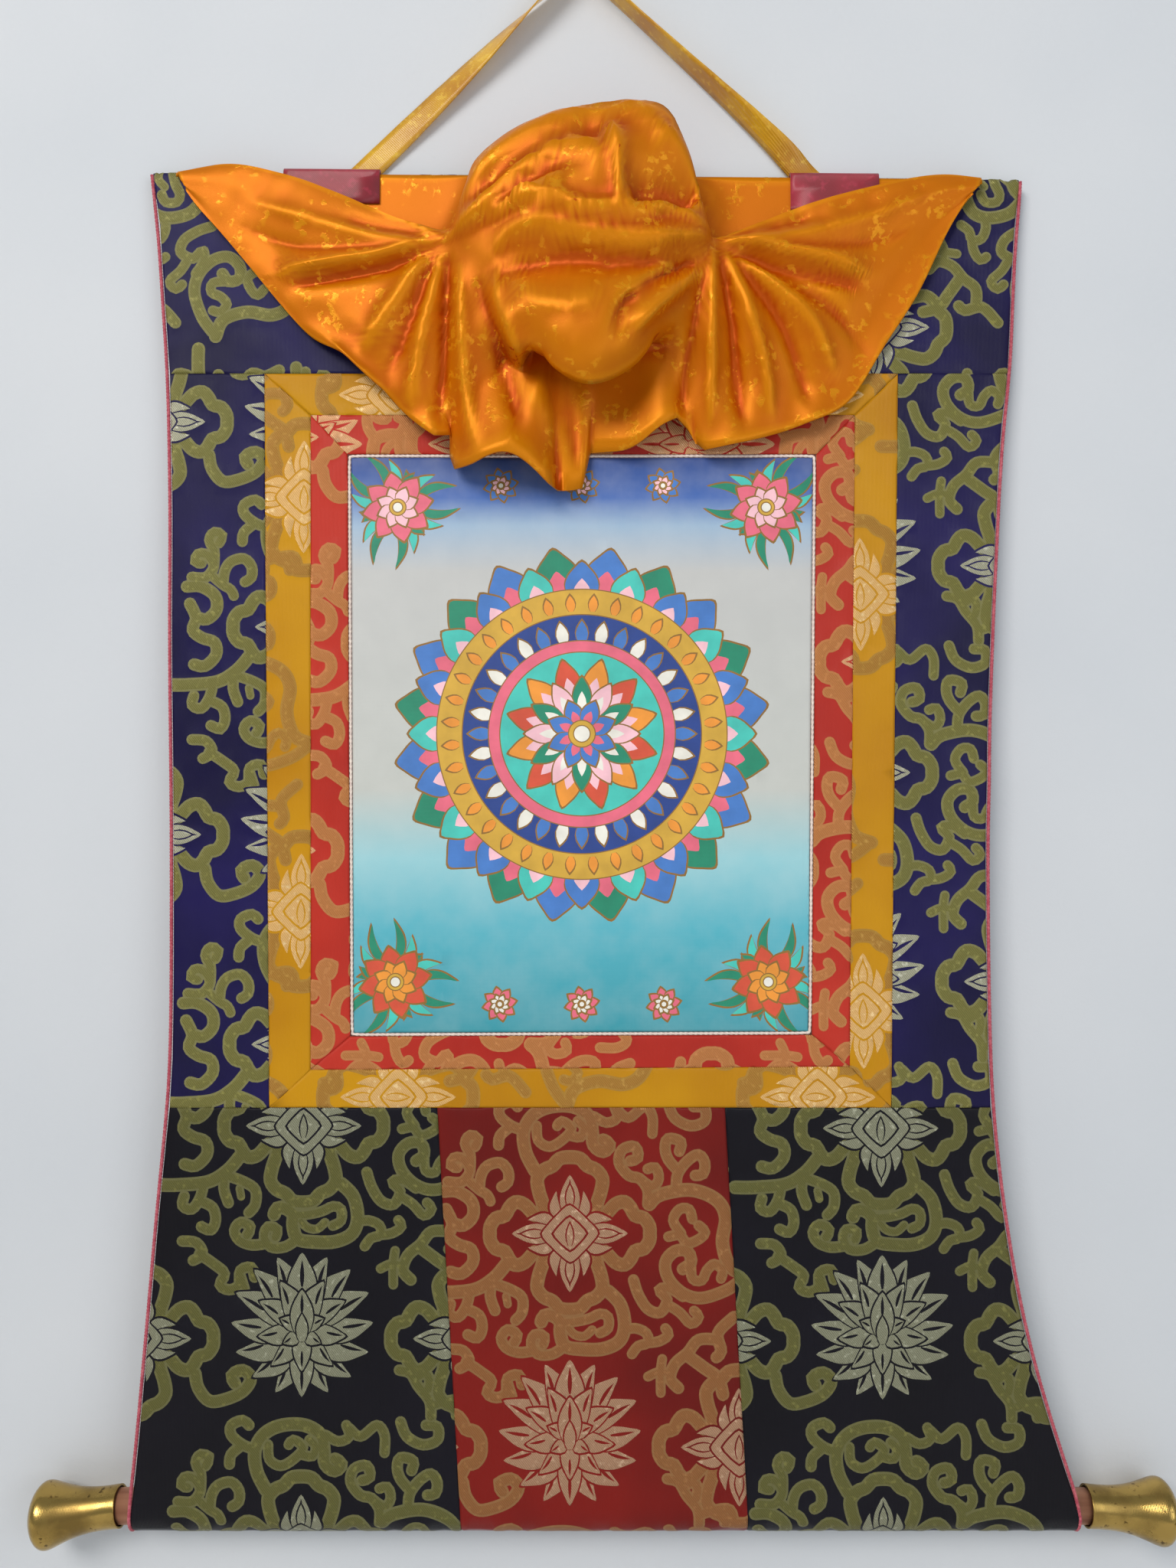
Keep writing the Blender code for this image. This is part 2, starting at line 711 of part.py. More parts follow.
def edge_cord(name, side, collection):
    """Wrapped cord down one side, and under the rod with the cloth."""
    points = []
    out = side * (EDGE_CORD_RADIUS + EDGE_CORD_GAP)
    column = 0 if side < 0 else 1
    count = 30
    start_z = top_z(side * -TOP_CORNER_X) - EDGE_CORD_RADIUS
    for step in range(count + 1):
        z = mix(start_z, ROD_Z, step / count)
        edge_x = smooth_row(SIDES, z)[column]
        points.append(on_cloth(edge_x + out, z, -CLOTH / 2))
    radius = SLEEVE_RADIUS - CLOTH / 2
    for step in range(1, 6):
        angle = math.pi + math.pi * 0.5 * step / 5
        y = WALL_Y - ROD_DEPTH + radius * math.cos(angle)
        z = ROD_Z + radius * math.sin(angle)
        points.append(Vector((smooth_row(SIDES, z)[column] + out, y, z)))
    tube(name, points, EDGE_CORD_RADIUS, "edge_cord", collection)


# ---------------------------------------------------------------- top pieces

def patch(name, left, right, bottom, collection):
    """Crimson cloth folded over the top edge, in front of the veil's sewn edge."""
    rows = []
    columns = 4
    radius = (TOP_DEPTH + PATCH_DEPTH - PATCH_BACK_DEPTH) / 2
    spring_drop = 0.0015
    centre_y = WALL_Y - PATCH_BACK_DEPTH - radius
    for part in (0.0, 0.5, 1.0):
        line = []
        for column in range(columns + 1):
            x = mix(left, right, column / columns)
            z = mix(bottom, top_z(x) - spring_drop, part)
            line.append(on_cloth(x, z, PATCH_DEPTH))
        rows.append(line)
    for step in range(1, 9):
        angle = math.pi * step / 8
        line = []
        for column in range(columns + 1):
            x = mix(left, right, column / columns)
            y = centre_y - radius * math.cos(angle)
            z = top_z(x) - spring_drop + radius * math.sin(angle)
            line.append(Vector((x, y, z)))
        rows.append(line)
    rows.append([Vector((point.x, point.y, PATCH_BACK_Z)) for point in rows[-1]])
    sheet(name, rows, "crimson_cloth", collection)


def ribbon(collection):
    """Flat ribbon from patch to patch, turning on its way to lie across the nail."""
    stations = [(x, depth, z, turn) for x, depth, z, turn in RIBBON_LEFT]
    for degrees in range(-45, 50, 15):
        angle = math.radians(degrees)
        x = RIBBON_BEND * math.sin(angle)
        z = RIBBON_BEND * (math.cos(angle) - 1.0) + RIBBON_THICKNESS / 2
        stations.append((x, WALL_Y, z, 0))
    stations.extend(RIBBON_RIGHT)
    centres = [Vector((x, WALL_Y - depth, z)) for x, depth, z, turn in stations]
    rows = []
    for index, centre in enumerate(centres):
        before = centres[max(index - 1, 0)]
        after = centres[min(index + 1, len(centres) - 1)]
        along = (after - before).normalized()
        square = Vector((0.0, 1.0, 0.0))
        square = (square - along * square.dot(along)).normalized()
        flat = along.cross(square)
        turn = math.radians(stations[index][3])
        across = square * math.cos(turn) + flat * math.sin(turn)
        half = across * RIBBON_WIDTH / 2
        rows.append([centre - half, centre + half])
    sheet("hanging_ribbon", rows, "ribbon", collection, RIBBON_THICKNESS, 0.0, False)


def veil(collection):
    """One silk cloth sewn along the top edge and drawn up at two places."""
    columns = []
    for step in range(VEIL_COLUMNS):
        place = step / (VEIL_COLUMNS - 1)
        section = []
        for line in VEIL_LINES:
            x, depth, z = smooth_row(line, place)
            clearance = VEIL_SEWN if line in (VEIL_EDGE, VEIL_LAP) else VEIL_CLEARANCE
            y = min(WALL_Y - depth, lie_y(x, z) - clearance)
            section.append(Vector((x, y, z)))
        columns.append(smooth_column(section, VEIL_ROWS_BETWEEN))
    rows = [list(row) for row in zip(*columns)]
    rows.reverse()
    sheet("silk_veil", rows, "orange_silk", collection, CLOTH, -1.0, False)


# ---------------------------------------------------------------- rod and knobs

def bottom_rod(collection):
    left = KNOBS[0][1] - ROD_IN_KNOB
    right = KNOBS[1][1] + ROD_IN_KNOB
    bpy.ops.mesh.primitive_cylinder_add(
        vertices=32,
        radius=ROD_RADIUS,
        depth=right - left,
        location=((left + right) / 2, WALL_Y - ROD_DEPTH, ROD_Z),
        rotation=(0.0, math.pi / 2, 0.0),
    )
    rod = bpy.context.object
    rod.name = "bottom_rod"
    rod.data.name = "bottom_rod"
    rod.data.materials.append(make_material("bottom_rod", "wood"))
    rod.data.shade_smooth()
    rod.data.set_sharp_from_angle(angle=math.radians(40))
    for owner in list(rod.users_collection):
        owner.objects.unlink(rod)
    collection.objects.link(rod)


def knob(name, neck_x, side, droop, collection):
    mesh = bpy.data.meshes.new(name)
    points = [(radius, 0.0, along) for along, radius in KNOB_PROFILE]
    edges = [(index, index + 1) for index in range(len(points) - 1)]
    mesh.from_pydata(points, edges, [])
    piece = add_object(name, mesh, "brass", collection)
    turn = piece.modifiers.new("turned", "SCREW")
    turn.axis = "Z"
    turn.angle = math.tau
    turn.steps = KNOB_SEGMENTS
    turn.render_steps = KNOB_SEGMENTS
    turn.use_merge_vertices = True
    turn.merge_threshold = 0.00005
    turn.use_smooth_shade = True
    piece.location = (neck_x, WALL_Y - ROD_DEPTH, ROD_Z)
    piece.rotation_euler = (0.0, side * math.radians(90 + droop), 0.0)


def main():
    clear_scene()
    collection = make_collection()
    picture_panel(collection)
    picture_piping(collection)
    border("red", 1, 2, PIPING_RADIUS + GAP, collection)
    border("yellow", 2, 3, GAP / 2, collection)
    top_panel(collection)
    side_strip("navy_left_strip", -1, collection)
    side_strip("navy_right_strip", 1, collection)
    lower_panels(collection)
    edge_cord("edge_cord_left", -1, collection)
    edge_cord("edge_cord_right", 1, collection)
    for name, left, right, bottom in PATCHES:
        patch(name, left, right, bottom, collection)
    ribbon(collection)
    veil(collection)
    bottom_rod(collection)
    for name, neck_x, side, droop in KNOBS:
        knob(name, neck_x, side, droop, collection)


main()
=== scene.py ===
"""Looks of the hanging scroll: brocade woven as thin raised pattern on each sewn panel, a framed
picture with a generic flower design, a drawn-up silk veil, ribbon, cords, rod and knobs.

Everything is placed from the frame. Metres, +Z up, the front faces -Y.
"""
import math

import bmesh
import bpy
import numpy as np
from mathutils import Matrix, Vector, noise
from mathutils.bvhtree import BVHTree
from mathutils.geometry import delaunay_2d_cdt


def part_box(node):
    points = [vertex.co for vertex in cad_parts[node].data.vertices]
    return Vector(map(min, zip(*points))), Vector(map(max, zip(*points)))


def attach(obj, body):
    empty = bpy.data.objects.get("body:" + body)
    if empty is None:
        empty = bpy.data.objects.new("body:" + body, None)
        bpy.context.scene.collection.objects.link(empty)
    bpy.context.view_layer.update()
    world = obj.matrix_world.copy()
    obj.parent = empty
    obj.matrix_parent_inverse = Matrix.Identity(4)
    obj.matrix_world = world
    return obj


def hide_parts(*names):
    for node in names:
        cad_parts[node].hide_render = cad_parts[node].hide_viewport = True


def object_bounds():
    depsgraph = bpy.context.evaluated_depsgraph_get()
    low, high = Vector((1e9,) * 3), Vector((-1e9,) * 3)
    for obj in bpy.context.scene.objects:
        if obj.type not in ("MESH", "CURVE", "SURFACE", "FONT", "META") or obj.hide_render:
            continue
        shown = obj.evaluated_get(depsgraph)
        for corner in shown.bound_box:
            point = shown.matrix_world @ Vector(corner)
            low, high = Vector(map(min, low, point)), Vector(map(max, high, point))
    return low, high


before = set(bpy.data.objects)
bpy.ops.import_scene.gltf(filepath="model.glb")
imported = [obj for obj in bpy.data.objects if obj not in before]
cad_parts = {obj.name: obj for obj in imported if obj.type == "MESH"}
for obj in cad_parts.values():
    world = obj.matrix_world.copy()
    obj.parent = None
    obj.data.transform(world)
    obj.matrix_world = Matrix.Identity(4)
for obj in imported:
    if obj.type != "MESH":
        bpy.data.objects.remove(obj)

cad_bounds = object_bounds()

MM = 0.001
WALL_Y = 0.010

# ---------------------------------------------------------------- camera, stage and light

CAMERA_PLACE = (0.0064, WALL_Y - 0.800, -0.5303)
CAMERA_LENS = 28.1
CAMERA_SENSOR = 36.0


def make_camera():
    data = bpy.data.cameras.new("camera")
    data.sensor_width = CAMERA_SENSOR
    data.sensor_fit = "AUTO"
    data.lens = CAMERA_LENS
    camera = bpy.data.objects.new("camera", data)
    camera.location = CAMERA_PLACE
    camera.rotation_euler = (math.radians(90), 0.0, 0.0)
    bpy.context.scene.collection.objects.link(camera)
    bpy.context.scene.camera = camera


def area_light(name, place, target, size, power, colour):
    data = bpy.data.lights.new(name, "AREA")
    data.shape = "RECTANGLE"
    data.size, data.size_y = size
    data.energy = power
    data.color = colour
    light = bpy.data.objects.new(name, data)
    light.location = place
    light.rotation_euler = (Vector(target) - Vector(place)).to_track_quat("-Z", "Y").to_euler()
    bpy.context.scene.collection.objects.link(light)


def make_lights():
    world = bpy.data.worlds.new("studio")
    bpy.context.scene.world = world
    world.use_nodes = True
    world.node_tree.nodes["Background"].inputs["Color"].default_value = (0.80, 0.86, 0.92, 1.0)
    world.node_tree.nodes["Background"].inputs["Strength"].default_value = 0.42
    middle = (0.0, 0.0, -0.5)
    area_light("key", (-1.4, -2.6, 1.2), middle, (1.7, 1.2), 80.0, (1.0, 0.97, 0.93))
    area_light("fill", (1.3, -1.6, -0.3), middle, (1.2, 1.2), 9.0, (0.92, 0.96, 1.0))
    area_light("back", (0.3, 1.6, 0.6), middle, (1.4, 1.4), 18.0, (0.95, 0.97, 1.0))
    bpy.context.scene.view_settings.view_transform = "Standard"


# ---------------------------------------------------------------- material helpers

class Shader:
    """A Principled material with short calls to add and join nodes."""

    def __init__(self, name, colour, roughness, **values):
        self.material = bpy.data.materials.new(name)
        self.material.use_nodes = True
        self.tree = self.material.node_tree
        self.main = self.tree.nodes["Principled BSDF"]
        self.set(self.main, {"Base Color": colour, "Roughness": roughness})
        self.set(self.main, values)
        self.place = self.add("ShaderNodeTexCoord").outputs["Object"]

    def add(self, kind, inputs=None, **settings):
        node = self.tree.nodes.new(kind)
        for key, value in settings.items():
            setattr(node, key, value)
        self.set(node, inputs or {})
        return node

    def set(self, node, values):
        for key, value in values.items():
            socket = node.inputs[key] if isinstance(key, int) else node.inputs[key.replace("_", " ")]
            if isinstance(value, bpy.types.NodeSocket):
                self.tree.links.new(value, socket)
            elif isinstance(value, tuple) and len(value) == 3 and socket.type == "RGBA":
                socket.default_value = (*value, 1.0)
            else:
                socket.default_value = value

    def math(self, operation, *values):
        node = self.add("ShaderNodeMath", operation=operation)
        self.set(node, dict(enumerate(values)))
        return node.outputs[0]

    def scaled(self, scale, turn=(0.0, 0.0, 0.0)):
        node = self.add("ShaderNodeMapping", {"Vector": self.place, "Scale": scale, "Rotation": turn})
        return node.outputs[0]

    def noise(self, scale, detail=2.0, stretch=(1.0, 1.0, 1.0)):
        vector = self.scaled(stretch)
        node = self.add(
            "ShaderNodeTexNoise", {"Vector": vector, "Scale": scale, "Detail": detail}
        )
        return node.outputs["Fac"]

    def ribs(self, pitch, turn=(0.0, 0.0, 0.0), distortion=0.0):
        """Thread ridges across the X axis, turned as asked."""
        node = self.add(
            "ShaderNodeTexWave",
            {
                "Vector": self.scaled((1.0, 1.0, 1.0), turn),
                "Scale": 0.314 / pitch,
                "Distortion": distortion,
                "Detail": 1.0,
            },
        )
        return node.outputs["Fac"]

    def remap(self, value, low, high, to_low, to_high):
        node = self.add(
            "ShaderNodeMapRange",
            {"Value": value, 1: low, 2: high, 3: to_low, 4: to_high},
        )
        return node.outputs[0]

    def blend(self, fraction, first, second):
        node = self.add("ShaderNodeMix", data_type="RGBA")
        self.set(node, {0: fraction})
        for index, value in ((6, first), (7, second)):
            if isinstance(value, bpy.types.NodeSocket):
                self.tree.links.new(value, node.inputs[index])
            else:
                node.inputs[index].default_value = (*value, 1.0)
        return node.outputs[2]

    def bump(self, height, distance, strength=1.0):
        node = self.add(
            "ShaderNodeBump", {"Height": height, "Distance": distance, "Strength": strength}
        )
        self.tree.links.new(node.outputs[0], self.main.inputs["Normal"])

    def colour(self, value):
        self.tree.links.new(value, self.main.inputs["Base Color"])

    def roughness(self, value):
        self.tree.links.new(value, self.main.inputs["Roughness"])


def srgb(red, green, blue):
    """A screen colour, 0 to 255, as linear light."""
    result = []
    for value in (red, green, blue):
        value = value / 255
        result.append(value / 12.92 if value <= 0.04045 else ((value + 0.055) / 1.055) ** 2.4)
    return tuple(result)


def link(piece, *materials):
    for material in materials:
        piece.data.materials.append(material)
    bpy.context.scene.collection.objects.link(piece)
    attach(piece, "root")
    return piece


def stands_for(node):
    """The piece takes the place of a node of the frame, which is hidden."""
    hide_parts(node)


def mesh_piece(name, points, faces, materials, classes=None):
    mesh = bpy.data.meshes.new(name)
    mesh.from_pydata([tuple(p) for p in points], [], [tuple(f) for f in faces])
    piece = bpy.data.objects.new(name, mesh)
    link(piece, *materials)
    if classes is not None:
        mesh.polygons.foreach_set("material_index", np.asarray(classes, np.int32))
    mesh.shade_smooth()
    mesh.update()
    return piece


def thicken(piece, to_back):
    """Gives a sheet its thickness, behind it. to_back is how many materials on its back's is."""
    solid = piece.modifiers.new("thickness", "SOLIDIFY")
    solid.thickness = CLOTH_THICKNESS
    solid.offset = -1.0
    solid.material_offset = to_back
    return piece


def make_stage():
    low, high = cad_bounds
    floor_z = low.z - 0.25
    wall = Shader("wall_paint", srgb(200, 203, 207), 0.9)
    wall.colour(wall.blend(wall.noise(6.0), srgb(194, 198, 203), srgb(206, 208, 211)))
    wall.bump(wall.noise(260.0, 4.0), 0.0004, 0.4)
    output = wall.tree.nodes["Material Output"]
    clear = wall.add("ShaderNodeBsdfTransparent")
    mixer = wall.add("ShaderNodeMixShader")
    behind = wall.add("ShaderNodeNewGeometry").outputs["Backfacing"]
    shadow = wall.add("ShaderNodeLightPath").outputs["Is Shadow Ray"]
    back = wall.math("MAXIMUM", behind, shadow)
    wall.tree.links.new(back, mixer.inputs[0])
    wall.tree.links.new(wall.main.outputs[0], mixer.inputs[1])
    wall.tree.links.new(clear.outputs[0], mixer.inputs[2])
    wall.tree.links.new(mixer.outputs[0], output.inputs["Surface"])
    floor = Shader("floor_paint", srgb(214, 214, 212), 0.8)
    floor.bump(floor.noise(180.0, 3.0), 0.0003, 0.3)
    size = 3.0
    square = ((-size, -size), (size, -size), (size, size), (-size, size))
    upright = [(x, WALL_Y, max(z, floor_z)) for x, z in square]
    level = [(x, y, floor_z) for x, y in square]
    for name, corners, material in (("wall", upright, wall.material), ("floor", level, floor.material)):
        mesh = bpy.data.meshes.new(name)
        mesh.from_pydata(corners, [], [(0, 1, 2, 3)])
        mesh.materials.append(material)
        stage = bpy.data.objects.new(name, mesh)
        bpy.context.scene.collection.objects.link(stage)


# ---------------------------------------------------------------- the frame's cloth surface

SEWN = [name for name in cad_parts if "panel" in name or "strip" in name or "border" in name]
SLEEVE_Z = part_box("red_lower_centre_panel")[0].z
ROD_LOW, ROD_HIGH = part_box("bottom_rod")
ROD_Y = (ROD_LOW.y + ROD_HIGH.y) / 2
ROD_Z = (ROD_LOW.z + ROD_HIGH.z) / 2
SLEEVE_RADIUS = ROD_Z - SLEEVE_Z
FOLD_RADIUS = 0.002
FOLD_BACK = 0.014
TAIL_LENGTH = 0.034
LEAVES_ROD = math.radians(180 + 31)
# Where the cloth is sounded: its left end and width, and how far out its edges are sought.
SOUND_LEFT = -0.33
SOUND_WIDTH = 0.68
TOP_SOUND = 0.27
SIDE_SOUND = 0.26


def tree_of(names):
    points = []
    faces = []
    for name in names:
        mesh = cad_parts[name].data
        start = len(points)
        points.extend(vertex.co.copy() for vertex in mesh.vertices)
        faces.extend([start + index for index in face.vertices] for face in mesh.polygons)
    return BVHTree.FromPolygons(points, faces)


def bspline(fraction):
    f = fraction
    return ((1 - f) ** 3 / 6, (3 * f ** 3 - 6 * f ** 2 + 4) / 6,
            (-3 * f ** 3 + 3 * f ** 2 + 3 * f + 1) / 6, f ** 3 / 6)


class Lie:
    """The front of the sewn cloth, read from the frame on a grid and smoothed."""

    STEP = 0.008

    def __init__(self):
        self.tree = tree_of(SEWN)
        self.top_tree = tree_of(["navy_top_panel"])
        low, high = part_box("navy_top_panel")
        self.low_x = SOUND_LEFT
        self.low_z = ROD_Z - 2 * self.STEP
        self.columns = int(SOUND_WIDTH / self.STEP) + 1
        self.rows = int((high.z - self.low_z) / self.STEP) + 3
        grid = np.full((self.rows, self.columns), np.nan)
        for row in range(self.rows):
            z = min(max(self.low_z + row * self.STEP, ROD_Z + 0.001), high.z - 0.008)
            for column in range(self.columns):
                x = self.low_x + column * self.STEP
                hit = self.tree.ray_cast(Vector((x, -1.0, z)), Vector((0.0, 1.0, 0.0)))
                if hit[0] is not None:
                    grid[row, column] = hit[0].y
            known = np.flatnonzero(~np.isnan(grid[row]))
            grid[row] = np.interp(np.arange(self.columns), known, grid[row, known])
        for _ in range(2):
            for axis in (0, 1):
                padded = np.pad(grid, [(1, 1) if a == axis else (0, 0) for a in (0, 1)], mode="edge")
                first = np.take(padded, range(0, grid.shape[axis]), axis)
                last = np.take(padded, range(2, grid.shape[axis] + 2), axis)
                grid = 0.25 * first + 0.5 * grid + 0.25 * last
        self.grid = np.pad(grid, 2, mode="edge")

    def y(self, x, z):
        x = np.asarray(x, float)
        z = np.asarray(z, float)
        across = np.clip((x - self.low_x) / self.STEP, 0, self.columns - 1.001)
        up = np.clip((z - self.low_z) / self.STEP, 0, self.rows - 1.001)
        column = across.astype(int)
        row = up.astype(int)
        total = np.zeros(np.broadcast(x, z).shape)
        for i, weight_z in enumerate(bspline(up - row)):
            for j, weight_x in enumerate(bspline(across - column)):
                total = total + weight_z * weight_x * self.grid[row + i + 1, column + j + 1]
        return total

    def side_x(self, z, side):
        """Where the sewn cloth ends at the left, -1, or the right, 1."""
        z = min(max(z, ROD_Z), self.top_z(side * TOP_SOUND) - 0.003)
        y = float(self.y(side * SIDE_SOUND, z)) + 0.0006
        found = []
        for shift in (0.0, 0.0008, -0.0008):
            hit = self.tree.ray_cast(Vector((side, y, z + shift)), Vector((-side, 0.0, 0.0)))
            if hit[0] is not None:
                found.append(hit[0].x)
        return side * max(side * x for x in found)

    def top_z(self, x):
        low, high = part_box("navy_top_panel")
        y = high.y - FOLD_RADIUS
        x = min(max(x, low.x + 0.002), high.x - 0.002)
        hit = self.top_tree.ray_cast(Vector((x, y, 1.0)), Vector((0.0, 0.0, -1.0)))
        return hit[0].z


lie = Lie()
TOP_LEFT_Z = lie.top_z(-TOP_SOUND)
TOP_RIGHT_Z = lie.top_z(TOP_SOUND)


def top_z(x):
    return TOP_LEFT_Z + (TOP_RIGHT_Z - TOP_LEFT_Z) * (x + TOP_SOUND) / (2 * TOP_SOUND)


def place(u, v, lift=0.0):
    """Points of the cloth from their flat place: across, and height before it goes over the
    top edge or round the rod. lift is how far they stand out from its front."""
    u = np.asarray(u, float)
    v = np.asarray(v, float)
    spring = top_z(u) - FOLD_RADIUS
    front = lie.y(u, np.clip(v, ROD_Z, spring))
    y = front - lift
    z = v.copy()
    over = v - spring
    angle = np.clip(over / FOLD_RADIUS, 0, math.pi)
    radius = FOLD_RADIUS + lift
    past = np.clip(over - math.pi * FOLD_RADIUS, 0, None)
    y = np.where(over > 0, front + FOLD_RADIUS - radius * np.cos(angle), y)
    z = np.where(over > 0, spring + radius * np.sin(angle) - past, z)
    under = ROD_Z - v
    angle = np.clip(under / SLEEVE_RADIUS, 0, LEAVES_ROD)
    radius = SLEEVE_RADIUS + lift
    past = np.clip(under - LEAVES_ROD * SLEEVE_RADIUS, 0, None)
    around_y = ROD_Y - radius * np.cos(angle) + past * math.sin(LEAVES_ROD)
    around_z = ROD_Z - radius * np.sin(angle) - past * math.cos(LEAVES_ROD)
    y = np.where(under > 0, around_y, y)
    z = np.where(under > 0, around_z, z)
    return np.stack([np.broadcast_to(u, y.shape), y, z], axis=-1)


# ---------------------------------------------------------------- brocade pattern

# The repeat, in millimetres: crossed medallions and lotuses, with scrolls between them.
REPEAT_X = 212.0
REPEAT_Z = 265.0
LOTUS_DROP = 124.0
RIM = 1.3
RAISED = 0.00025
CLOTH_THICKNESS = 0.0009
LATTICE = 8.0
SEWN_DOWN = 0.00040
SEAM_LAP = 0.2
SEAM_ROLL = 1.7

# One quarter of the lobed frame round a crossed medallion, from its top to its right.
FRAME_QUARTER = (
    (0.0, 47.5), (6.5, 46.5), (11.0, 42.0), (16.5, 39.5), (20.5, 34.0), (19.5, 26.0),
    (17.0, 18.0), (16.8, 11.0), (22.0, 11.5), (28.5, 18.0), (34.5, 19.5), (38.5, 15.5),
    (41.0, 11.0), (46.5, 9.5), (50.0, 4.5), (50.3, 0.0),
)
FRAME_HALF = 4.4
FULLNESS = 1.2

# Scrolls from the middle of a medallion: half width, then points across and up. The points
# were read along the curls of a woven example and scaled by a separate script.
SCROLLS = (
    (3.6, (24, -36), (31, -43), (34, -52), (34, -61), (30, -68), (20, -72), (7, -72), (-3, -70),
      (-6, -62), (-6, -55), (-11, -51), (-16, -51), (-18, -55)),
    (2.8, (-6, -55), (2, -55), (12, -53), (19, -50), (24, -52), (24, -59), (19, -62)),
    (2.4, (-1, -59), (3, -63), (9, -64), (14, -60)),
    (3.0, (-3, -70), (-11, -75), (-20, -75), (-24, -69), (-22, -63), (-16, -64), (-17, -69)),
    (3.0, (-23, -73), (-32, -74), (-40, -71), (-43, -65), (-39, -60), (-33, -63), (-35, -68)),
    (2.8, (34, -60), (41, -59), (48, -62), (49, -68), (43, -70), (39, -75)),
    (2.8, (49, -68), (56, -67), (62, -63), (60, -59)),
    (3.6, (-22, 39), (-28, 51), (-29, 64), (-23, 74), (-12, 79), (2, 79), (12, 73), (14, 64),
      (15, 55), (21, 51), (25, 55), (21, 58)),
    (2.8, (-21, 67), (-20, 58), (-13, 54), (-5, 58), (1, 65), (-5, 70), (-8, 67)),
    (2.8, (-0, 61), (7, 60), (9, 66), (5, 70)),
    (3.0, (-29, 64), (-37, 67), (-44, 73), (-44, 79), (-37, 82), (-33, 79)),
    (3.0, (-37, 67), (-44, 61), (-45, 55)),
    (3.4, (-80, 26), (-71, 26), (-62, 20), (-61, 11), (-67, 5), (-73, 6)),
    (3.3, (-78, 15), (-74, 6), (-76, -2), (-70, -7), (-62, -10), (-61, -18), (-68, -25), (-75, -24)),
    (3.0, (-77, 32), (-68, 32), (-63, 39), (-67, 46), (-73, 47), (-75, 42), (-71, 41)),
    (3.0, (-63, 39), (-63, 49), (-66, 56), (-63, 61), (-58, 59), (-60, 54)),
    (2.8, (-63, 32), (-57, 27), (-52, 24), (-50, 20)),
    (3.0, (-57, 28), (-56, 36), (-52, 42), (-44, 44), (-39, 39), (-39, 32), (-43, 29)),
    (3.6, (-40, -19), (-48, -28), (-60, -35), (-79, -37), (-92, -37)),
    (3.0, (-49, -29), (-50, -39), (-47, -48)),
    (3.0, (-48, -31), (-37, -35), (-30, -40), (-30, -49), (-34, -54)),
    (2.2, (-40, -39), (-39, -44)),
    (3.0, (-63, -37), (-65, -45), (-70, -52), (-76, -50), (-75, -44)),
    (3.0, (-65, -47), (-57, -51), (-55, -59), (-58, -65), (-64, -63)),
    (3.6, (50, 18), (57, 24), (76, 27), (92, 21), (98, 10), (96, -6), (101, -21), (112, -26)),
    (3.0, (49, 18), (49, 27), (44, 34), (37, 36), (31, 44), (33, 52), (41, 54), (43, 47), (38, 45)),
    (2.8, (44, 34), (52, 29), (56, 34), (54, 41), (49, 40)),
    (3.0, (67, 29), (68, 37), (74, 45), (81, 49), (85, 44), (84, 37), (79, 36)),
    (3.0, (68, 39), (62, 46), (60, 53), (62, 59), (70, 57), (69, 51)),
    (2.8, (15, 73), (23, 69), (30, 72), (28, 79)),
    (2.8, (30, 77), (37, 72), (47, 79), (52, 73), (52, 62)),
    (3.0, (62, 81), (66, 72), (76, 67), (85, 70), (85, 78), (78, 79)),
    (2.8, (62, -2), (69, -1), (74, -6), (82, -3), (85, 1), (81, 5)),
    (2.8, (70, 0), (65, 8), (69, 15), (75, 15), (77, 9)),
    (3.3, (109, -28), (99, -35), (83, -40), (71, -37), (62, -28), (60, -18), (66, -11), (74, -11),
      (76, -18), (71, -22)),
    (2.8, (76, -19), (77, -28), (83, -29), (86, -23), (91, -19), (96, -23), (95, -28)),
    (3.0, (40, -29), (43, -38), (49, -47), (57, -49), (61, -41), (56, -35), (63, -34), (71, -39)),
    (2.8, (61, -44), (69, -49), (76, -56), (81, -52), (78, -48)),
    (3.2, (103, -52), (93, -62), (95, -73), (92, -77)),
    (3.2, (93, -66), (81, -66), (74, -74), (66, -81), (63, -90), (68, -96)),
    (3.4, (74, -76), (85, -84), (93, -90), (96, -100)),
    (2.6, (63, -87), (56, -86), (49, -89)),
    (2.6, (57, -99), (57, -86), (58, -78)),
    (3.0, (-76, -72), (-67, -73), (-63, -80), (-69, -84)),
    (3.0, (-65, -80), (-56, -86), (-49, -92), (-52, -99), (-46, -102), (-40, -99), (-39, -90),
      (-32, -88), (-30, -94)),
    (2.6, (-39, -92), (-36, -101)),
    (3.4, (-67, -154), (-65, -163), (-58, -171), (-48, -170), (-37, -165), (-32, -157), (-37, -152),
      (-44, -155), (-42, -160)),
    (3.0, (61, -152), (68, -154), (73, -162), (80, -171), (81, -181)),
    (3.0, (71, -157), (77, -154), (80, -158), (79, -164)),
    (3.0, (81, -174), (92, -171), (100, -171), (102, -178), (97, -180)),
)

